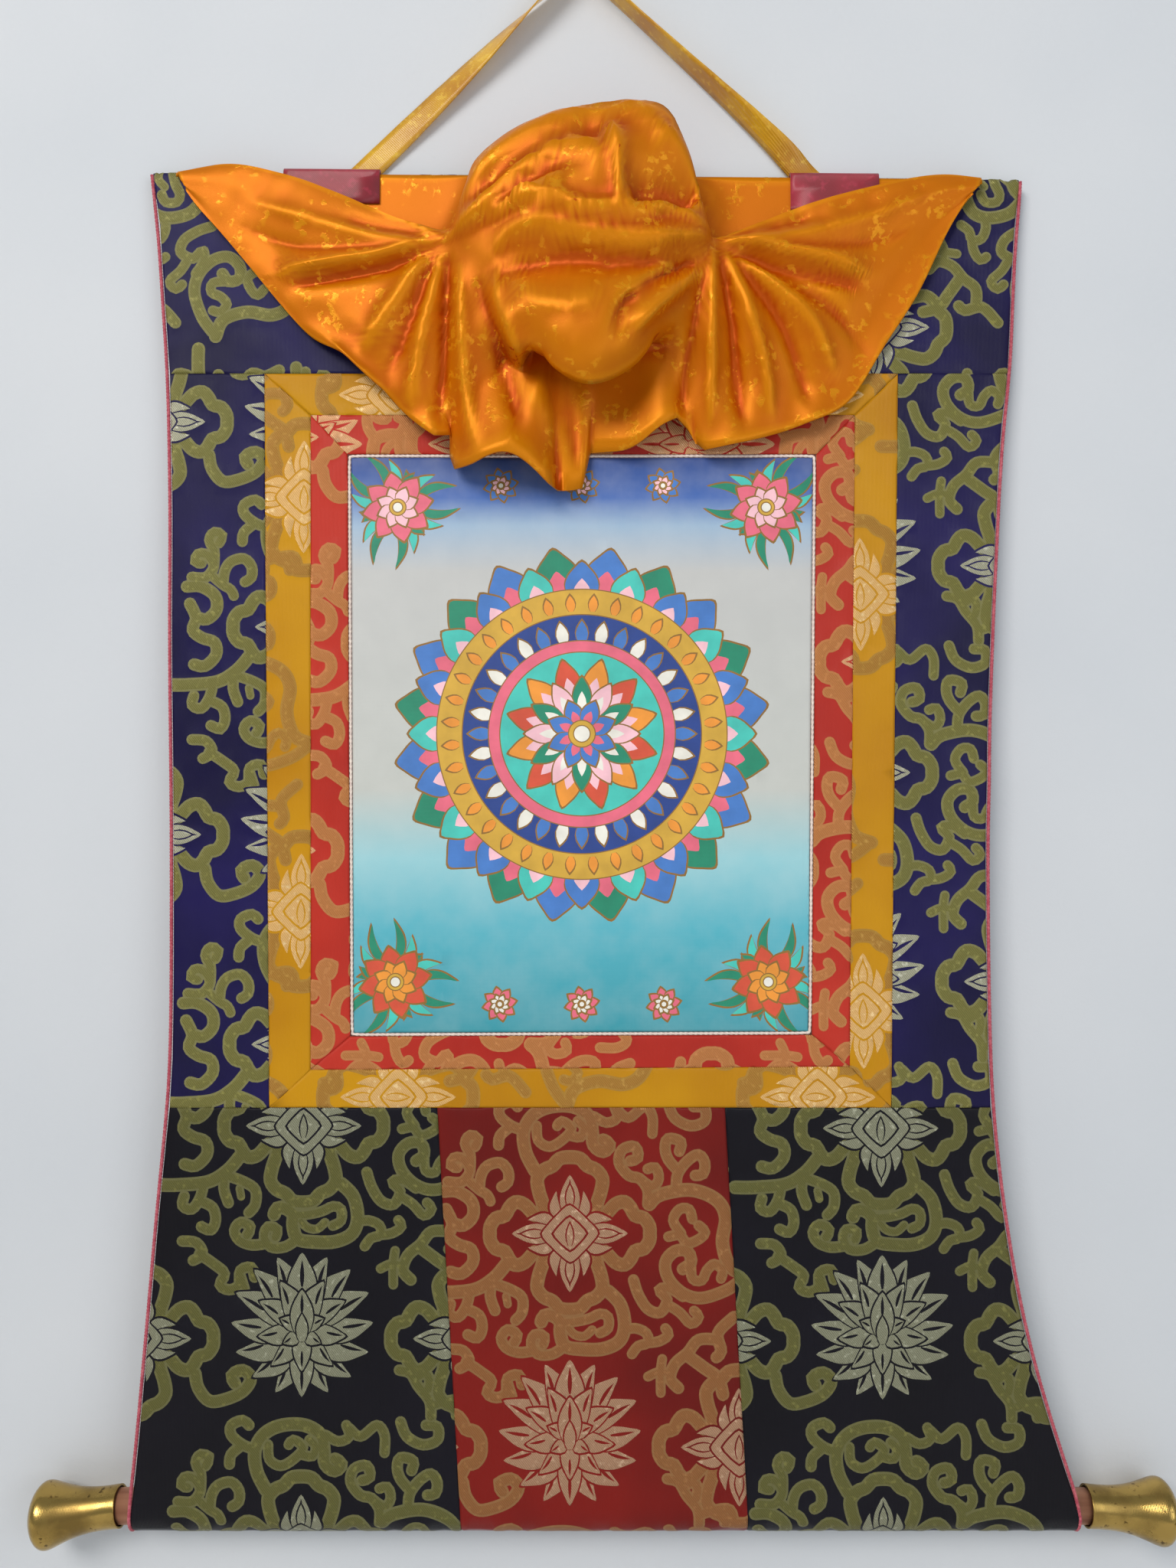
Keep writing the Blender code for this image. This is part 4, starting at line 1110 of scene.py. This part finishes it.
def fold_veil(points):
    """Moves the veil's front forward along every fold, with small wrinkles between them."""
    flat = points[:, [0, 2]] / MM
    forward = np.zeros(len(points))
    for height, wide, tight, *line in FOLDS:
        path = curve_through(line, 3.0)
        reach = 3 * max(wide, tight)
        low, high = path.min(axis=0) - reach, path.max(axis=0) + reach
        near = np.flatnonzero(((flat > low) & (flat < high)).all(axis=1))
        if not len(near):
            continue
        gap = np.linalg.norm(flat[near, None, :] - path, axis=2)
        nearest = gap.argmin(axis=1)
        share = nearest / (len(path) - 1)
        heading = np.gradient(path, axis=0)[nearest]
        offset = flat[near] - path[nearest]
        on_left = heading[:, 0] * offset[:, 1] - heading[:, 1] * offset[:, 0] > 0
        half = np.where(on_left, wide, tight)
        taper = np.minimum(1.0, np.minimum(share, 1 - share) * 4 + 0.15)
        forward[near] += height * MM * taper * np.exp(-(gap.min(axis=1) / half) ** 1.3)
    lie_gap = lie.y(points[:, 0], points[:, 2]) - points[:, 1]
    free = np.clip((lie_gap - 0.002) / 0.010, 0, 1)
    spread = np.zeros(len(points))
    for height, size in CRUMPLE:
        spread += height * np.array([noise.noise(Vector(point) / size) for point in points])
    forward = (forward + spread) * free
    sunk = -np.minimum(-forward, 0.6 * np.clip(lie_gap - 0.004, 0, None))
    forward = np.where(forward < 0, sunk, forward)
    return points + outward(points) * forward[:, None]


def outward(points):
    """Which way the veil's folds stand out: forward, and away from the core of its bulge."""
    x, y, z = points.T
    core_y = lie.y(x, z)
    away = np.stack([np.zeros(len(x)), y - core_y, z - BULGE_Z], axis=1)
    away /= np.maximum(np.linalg.norm(away, axis=1, keepdims=True), 0.001)
    share = np.exp(-((x - BULGE_X) / BULGE_HALF) ** 4) * np.clip((z - BULGE_LOW) / 0.02, 0, 1)
    ways = share[:, None] * away + (1 - share)[:, None] * np.array((0.0, -1.0, 0.0))
    return ways / np.maximum(np.linalg.norm(ways, axis=1, keepdims=True), 0.001)


def silk():
    """Orange damask: bright woven sprigs on a satin ground, with painted shade that makes it darker and
    redder where it turns inward and lighter on ridges.
    """
    cloth = Shader(
        "orange_silk", srgb(192, 104, 1), 0.38, Metallic=0.30, Specular_IOR_Level=0.15,
        Anisotropic=0.4,
    )
    warp = cloth.add("ShaderNodeTexNoise", {"Vector": cloth.place, "Scale": 60.0, "Detail": 1.0})
    bent = cloth.add("ShaderNodeMix", data_type="RGBA")
    cloth.set(bent, {0: 0.05})
    cloth.tree.links.new(cloth.place, bent.inputs[6])
    cloth.tree.links.new(warp.outputs["Color"], bent.inputs[7])
    sprigs = cloth.add("ShaderNodeTexVoronoi", {"Vector": bent.outputs[2], "Scale": 46.0})
    near = cloth.remap(sprigs.outputs["Distance"], 0.26, 0.42, 1.0, 0.0)
    leaf = cloth.remap(cloth.noise(260.0, 2.0), 0.50, 0.56, 0.0, 1.0)
    motif = cloth.math("MULTIPLY", near, leaf)
    # Painted shade and highlight: from the mesh's pointiness, the ground goes darker and redder in concave
    # creases and hollows and lighter on convex ridges.
    painted_fold_shade = cloth.add("ShaderNodeNewGeometry").outputs["Pointiness"]
    shade = cloth.remap(painted_fold_shade, 0.46, 0.53, 0.0, 1.0)
    ground = cloth.blend(shade, srgb(178, 74, 0), srgb(206, 122, 2))
    cloth.colour(cloth.blend(cloth.math("MULTIPLY", motif, 0.6), ground, srgb(222, 148, 22)))
    cloth.roughness(cloth.remap(motif, 0.0, 1.0, 0.40, 0.26))
    weave = cloth.math("ADD", cloth.ribs(0.0005, (0.0, 0.5, 0.0)), cloth.noise(1200.0, 2.0))
    relief = cloth.math("ADD", cloth.math("MULTIPLY", weave, 0.35), cloth.math("MULTIPLY", motif, 0.6))
    cloth.bump(relief, 0.00014, 0.7)
    return cloth.material


def make_veil():
    piece = soft_copy("silk_veil", 2, [silk()], fold_veil)


# ---------------------------------------------------------------- ribbon and patches

def satin(name, colour, deep, bright, rib):
    cloth = Shader(
        name, colour, 0.36, Sheen_Weight=0.06, Specular_IOR_Level=0.6, Coat_Weight=0.08,
        Coat_Roughness=0.35,
    )
    shade = cloth.remap(cloth.noise(30.0, 2.0), 0.35, 0.65, 0.0, 1.0)
    glint = cloth.remap(cloth.noise(240.0, 3.0), 0.55, 0.70, 0.0, 1.0)
    cloth.colour(cloth.blend(cloth.math("MULTIPLY", glint, 0.5), cloth.blend(shade, deep, colour), bright))
    ribs = cloth.ribs(rib, (0.0, math.radians(44), 0.0))
    cloth.bump(cloth.math("ADD", ribs, cloth.noise(900.0, 2.0)), 0.00015, 0.7)
    return cloth.material


def wrinkle(height, size):
    """A shape for soft_copy that lets the cloth ripple a little."""
    def shape(points):
        moved = points.copy()
        moved[:, 1] -= height * np.array([noise.noise(Vector(point) / size) for point in points])
        return moved
    return shape


def make_ribbon():
    cloth = satin("ribbon", srgb(208, 158, 10), srgb(182, 124, 5), srgb(234, 196, 66), 0.0012)
    piece = soft_copy("hanging_ribbon", 2, [cloth], wrinkle(0.0004, 0.012))


def make_patches():
    cloth = satin("crimson", srgb(158, 22, 46), srgb(128, 14, 32), srgb(188, 54, 78), 0.0009)
    for node in ("patch_left", "patch_right"):
        piece = soft_copy(node, 2, [cloth], wrinkle(0.0003, 0.016))


# ---------------------------------------------------------------- cords

def frames_along(path, closed):
    """Two directions square to a path at each of its points."""
    after = np.roll(path, -1, axis=0)
    before = np.roll(path, 1, axis=0)
    if not closed:
        after[-1] = path[-1]
        before[0] = path[0]
    along = after - before
    along /= np.linalg.norm(along, axis=1, keepdims=True)
    out = np.array((0.0, -1.0, 0.0)) - along * (along @ np.array((0.0, -1.0, 0.0)))[:, None]
    out /= np.linalg.norm(out, axis=1, keepdims=True)
    return out, np.cross(along, out)


def evenly(path, step, closed):
    ring = np.vstack([path, path[:1]]) if closed else path
    reach = np.concatenate([[0], np.cumsum(np.linalg.norm(np.diff(ring, axis=0), axis=1))])
    count = int(reach[-1] / step)
    places = np.linspace(0, reach[-1], count, endpoint=not closed)
    return np.stack([np.interp(places, reach, ring[:, axis]) for axis in range(3)], axis=1), places


def wrapped_cord(name, path, radius, pitch, plies, depth, material, closed=False, step=0.0006, sides=9):
    """A cord whose skin winds round it: plies strands, standing depth proud at their crests."""
    path, places = evenly(path, step, closed)
    out, side = frames_along(path, closed)
    angles = np.arange(sides) * math.tau / sides
    wave = np.cos(plies * (angles[None, :] - places[:, None] / pitch * math.tau / plies))
    size = radius - depth * (0.5 - 0.5 * wave)
    points = (
        path[:, None, :] + size[..., None] * (
            np.cos(angles)[None, :, None] * out[:, None, :]
            + np.sin(angles)[None, :, None] * side[:, None, :]
        )
    ).reshape(-1, 3)
    faces = []
    rings = len(path)
    for ring in range(rings if closed else rings - 1):
        start, after = ring * sides, (ring + 1) % rings * sides
        for corner in range(sides):
            following = (corner + 1) % sides
            faces.append((start + corner, start + following, after + following, after + corner))
    if not closed:
        faces.append(tuple(range(sides))[::-1])
        faces.append(tuple(range((rings - 1) * sides, rings * sides)))
    return mesh_piece(name, points, faces, [material])


def thread(name, colour, bright, pitch):
    cord = Shader(name, colour, 0.62, Sheen_Weight=0.12)
    cord.colour(cord.blend(cord.remap(cord.noise(500.0, 2.0), 0.4, 0.7, 0.0, 1.0), colour, bright))
    cord.bump(cord.math("ADD", cord.noise(1400.0, 2.0), cord.ribs(pitch, (0.0, 0.9, 0.0))), 0.00012, 0.8)
    return cord.material


PIPING_RADIUS = 0.0010
PIPING_OUT = 0.0012
EDGE_CORD_RADIUS = 0.00125
EDGE_CORD_OUT = 0.0017


def make_cords():
    pale = thread("piping_thread", srgb(222, 200, 190), srgb(244, 228, 214), 0.0005)
    outline = grown(np.array(four_sided("picture_panel", 0.006)), PIPING_OUT)
    path = np.stack([outline[:, 0], lie.y(outline[:, 0], outline[:, 1]) + 0.0002, outline[:, 1]], axis=1)
    piece = wrapped_cord("picture_piping_look", path, PIPING_RADIUS, 0.0032, 2, 0.00035, pale, closed=True)
    stands_for("picture_piping")
    red = thread("edge_thread", srgb(164, 54, 72), srgb(194, 96, 106), 0.0006)
    for node, side in (("edge_cord_left", -1), ("edge_cord_right", 1)):
        heights = np.linspace(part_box(node)[1].z - 0.001, ROD_Z, 120)
        across = np.array([lie.side_x(z, side) for z in heights])
        across = np.convolve(np.pad(across, 3, mode="edge"), np.ones(7) / 7, mode="valid")
        x = across + side * EDGE_CORD_OUT
        y = lie.y(x, heights) + 0.0006
        path = np.stack([x, y, heights], axis=1)
        angles = np.linspace(0, math.pi / 2, 12)[1:]
        turn = SLEEVE_RADIUS - 0.0006
        under = np.stack(
            [np.full(len(angles), x[-1]), ROD_Y - turn * np.cos(angles), ROD_Z - turn * np.sin(angles)],
            axis=1,
        )
        path = np.vstack([path, under])
        piece = wrapped_cord(node + "_look", path, EDGE_CORD_RADIUS, 0.0020, 1, 0.0003, red)
        stands_for(node)


# ---------------------------------------------------------------- rod and knobs

def make_rod_and_knobs():
    wood = Shader("rod_wood", srgb(150, 100, 78), 0.6, Specular_IOR_Level=0.4)
    grain = wood.noise(90.0, 4.0, (0.06, 1.0, 1.0))
    wood.colour(wood.blend(wood.remap(grain, 0.35, 0.65, 0.0, 1.0), srgb(118, 72, 52), srgb(170, 120, 92)))
    wood.bump(grain, 0.0003, 0.6)
    soft_copy("bottom_rod", 1, [wood.material])
    brass = Shader("brass", srgb(184, 156, 88), 0.28, Metallic=1.0)
    wear = brass.remap(brass.noise(46.0, 5.0), 0.42, 0.66, 0.0, 1.0)
    spots = brass.remap(brass.noise(210.0, 3.0), 0.62, 0.72, 0.0, 1.0)
    tarnish = brass.math("MAXIMUM", brass.math("MULTIPLY", wear, 0.65), spots)
    brass.colour(brass.blend(tarnish, srgb(178, 148, 82), srgb(96, 76, 42)))
    brass.roughness(brass.remap(tarnish, 0.0, 1.0, 0.20, 0.48))
    turning = brass.ribs(0.0009)
    brass.bump(brass.math("ADD", turning, brass.noise(300.0, 3.0)), 0.00006, 0.5)
    for node in ("knob_left", "knob_right"):
        soft_copy(node, 2, [brass.material])


# ---------------------------------------------------------------- the picture

BACK, OCHRE, BLUE, DEEP, PINK, PALE, TEAL, GREEN, FLAME, AMBER, WHITE, LINE = range(12)
PICTURE_LINE = 0.7


def circle(centre, radius):
    count = max(int(radius * 2.2), 20)
    angles = np.arange(count) * math.tau / count
    return np.array(centre) + radius * np.stack([np.cos(angles), np.sin(angles)], axis=1)


def spoke(centre, angle, near, far, half, bend, colour):
    """A petal that points away from a centre: its line, its fill."""
    heading = np.array((math.cos(angle), math.sin(angle)))
    root, tip = centre + heading * near, centre + heading * far
    inner = centre + heading * (far - 2.4 * PICTURE_LINE)
    shapes = [(petal(*root, *tip, half, bend), LINE)]
    shapes.append((petal(*root, *inner, max(half - PICTURE_LINE, 0.5), bend), colour))
    return shapes


def petal_ring(centre, count, near, far, half, colours, heart=None, start=0.25):
    shapes = []
    centre = np.array(centre)
    for index in range(count):
        angle = math.tau * (index + start) / count + math.pi / 2
        colour = colours[index % len(colours)]
        shapes.extend(spoke(centre, angle, near, far, half, 0.0, colour))
        if heart is not None:
            reach = near + (far - near) * 0.62
            shapes.append(spoke(centre, angle, near, reach, half * 0.55, 0.0, heart)[1])
    return shapes


def band_ring(centre, outer, inner, colour, inside_colour):
    return [
        (circle(centre, outer), LINE),
        (circle(centre, outer - PICTURE_LINE), colour),
        (circle(centre, inner + PICTURE_LINE), LINE),
        (circle(centre, inner), inside_colour),
    ]


def blossom(centre, size, outer, inner, heart):
    shapes = petal_ring(centre, 8, size * 0.2, size, size * 0.30, [outer])
    shapes += petal_ring(centre, 8, size * 0.1, size * 0.62, size * 0.20, [inner], start=0.5)
    return shapes + band_ring(centre, size * 0.24, size * 0.12, heart, WHITE)


def sprays(centre, towards, size):
    """Leaves on both sides of a bent stem that leaves a blossom."""
    shapes = []
    centre = np.array(centre)
    for turn, far, half, colour in (
        (-0.95, 1.5, 0.20, GREEN), (-0.55, 1.9, 0.22, TEAL), (-0.18, 2.4, 0.20, GREEN),
        (0.18, 2.4, 0.20, GREEN), (0.55, 1.9, 0.22, TEAL), (0.95, 1.5, 0.20, GREEN),
    ):
        bend = 0.3 if turn < 0 else -0.3
        shapes += spoke(centre, towards + turn, size * 0.6, size * far, size * half, bend, colour)
    return shapes


def picture_shapes(half_x, half_z):
    """A generic round lotus design with blossoms in the corners, back to front."""
    middle = (0.0, 6.0)
    shapes = []
    for x in (-1, 1):
        for z in (-1, 1):
            centre = (x * (half_x - 30), z * (half_z - 32))
            towards = math.atan2(-z * 1.1, -x)
            shapes += sprays(centre, towards + math.pi, 17) + sprays(centre, towards + x * z * 0.95, 17)
            shapes += sprays(centre, towards - x * z * 1.0, 17)
            shapes += blossom(centre, 24, FLAME if z < 0 else PINK, PALE if z > 0 else AMBER, OCHRE)
    for x in (-1, 0, 1):
        shapes += blossom((x * 52, half_z - 18), 12, BLUE, PALE, OCHRE)
        shapes += blossom((x * 52, -half_z + 18), 12, PINK, WHITE, OCHRE)
    shapes += petal_ring(middle, 20, 84, 121, 15.5, [GREEN, BLUE], PINK, start=0.5)
    shapes += petal_ring(middle, 20, 84, 112, 11.5, [BLUE, TEAL], PALE, start=0.0)
    shapes += band_ring(middle, 93, 76, OCHRE, DEEP)
    shapes += petal_ring(middle, 36, 78.5, 90.5, 3.6, [AMBER], start=0.5)
    shapes += petal_ring(middle, 32, 58, 74, 4.6, [BLUE, WHITE], start=0.0)
    shapes += band_ring(middle, 60, 52, PINK, TEAL)
    shapes += petal_ring(middle, 12, 20, 50, 8.6, [FLAME, AMBER], PALE, start=0.5)
    shapes += petal_ring(middle, 12, 14, 38, 6.6, [GREEN, PALE], WHITE, start=0.0)
    shapes += petal_ring(middle, 8, 6, 24, 6.4, [BLUE], PINK, start=0.5)
    return shapes + band_ring(middle, 9, 5, OCHRE, WHITE)


def painted_weave(layer):
    threads = layer.math("ADD", layer.ribs(0.0006), layer.ribs(0.0006, (0.0, math.pi / 2, 0.0)))
    layer.bump(threads, 0.00006, 0.5)
    return layer.material


def paint(name, colour):
    """Flat colour on primed cotton: a slight unevenness and the weave just showing."""
    layer = Shader(name, colour, 0.48, Specular_IOR_Level=0.4, Sheen_Weight=0.05)
    deep = tuple(value * 0.80 for value in colour)
    layer.colour(layer.blend(layer.remap(layer.noise(70.0, 3.0), 0.3, 0.7, 0.0, 1.0), deep, colour))
    return painted_weave(layer)


def painted_ground(low_z, high_z):
    """From deep blue at the top through pale grey to a greenish blue."""
    ground = Shader("picture_ground", (0.5, 0.5, 0.5), 0.48, Specular_IOR_Level=0.4)
    height = ground.add("ShaderNodeSeparateXYZ", {"Vector": ground.place}).outputs["Z"]
    share = ground.remap(height, low_z, high_z, 0.0, 1.0)
    ramp = ground.add("ShaderNodeValToRGB", {"Fac": share})
    stops = (
        (0.0, (52, 146, 160)), (0.18, (80, 172, 188)), (0.30, (144, 198, 206)), (0.42, (188, 190, 184)),
        (0.80, (186, 186, 184)), (0.88, (150, 176, 200)), (0.93, (54, 96, 170)), (1.0, (36, 66, 132)),
    )
    elements = ramp.color_ramp.elements
    while len(elements) < len(stops):
        elements.new(0.5)
    for element, (place_up, colour) in zip(elements, stops):
        element.position = place_up
        element.color = (*srgb(*colour), 1.0)
    grain = ground.remap(ground.noise(50.0, 3.0), 0.3, 0.7, 0.0, 0.10)
    ground.colour(ground.blend(grain, ramp.outputs["Color"], srgb(226, 226, 220)))
    return painted_weave(ground)


def make_picture():
    low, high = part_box("picture_panel")
    colours = (
        (214, 168, 60), (70, 124, 198), (36, 66, 140), (234, 108, 130), (250, 196, 206), (72, 198, 184),
        (30, 138, 106), (216, 82, 54), (240, 152, 52), (240, 236, 224), (146, 106, 44),
    )
    names = (
        "ochre", "blue", "deep_blue", "pink", "pale_pink", "teal", "green", "flame", "amber", "white", "line",
    )
    materials = [painted_ground(low.z, high.z)]
    materials += [paint("paint_" + name, srgb(*colour)) for name, colour in zip(names, colours)]
    materials.append(reverse_cloth("cotton_reverse", srgb(214, 206, 188), srgb(196, 186, 164)))
    outline = np.array(four_sided("picture_panel")) / MM
    middle = (outline.min(axis=0) + outline.max(axis=0)) / 2
    half = np.ptp(outline, axis=0) / 2
    shapes = [(points + middle, kind) for points, kind in picture_shapes(*half)]
    lines = [grown(outline, -SEAM_ROLL)] + [points for points, kind in shapes]
    points, faces = filled(outline, lines)
    centres = points[faces].mean(axis=1)
    classes = np.full(len(faces), BACK)
    for shape, kind in shapes:
        classes[inside(centres, shape)] = kind
    lift = np.zeros(len(points))
    lift[faces[classes != BACK].ravel()] = 0.00006
    lift -= np.clip(1 - edge_distance(points, outline) / SEAM_ROLL, 0, 1) * SEWN_DOWN / 2
    piece = laid("picture_panel_cloth", points, faces, lift, materials, classes)
    stands_for("picture_panel")


# ---------------------------------------------------------------- the scene

make_camera()
make_lights()
make_stage()
brocades = make_brocades()
make_panels(brocades)
make_picture()
make_veil()
make_ribbon()
make_patches()
make_cords()
make_rod_and_knobs()
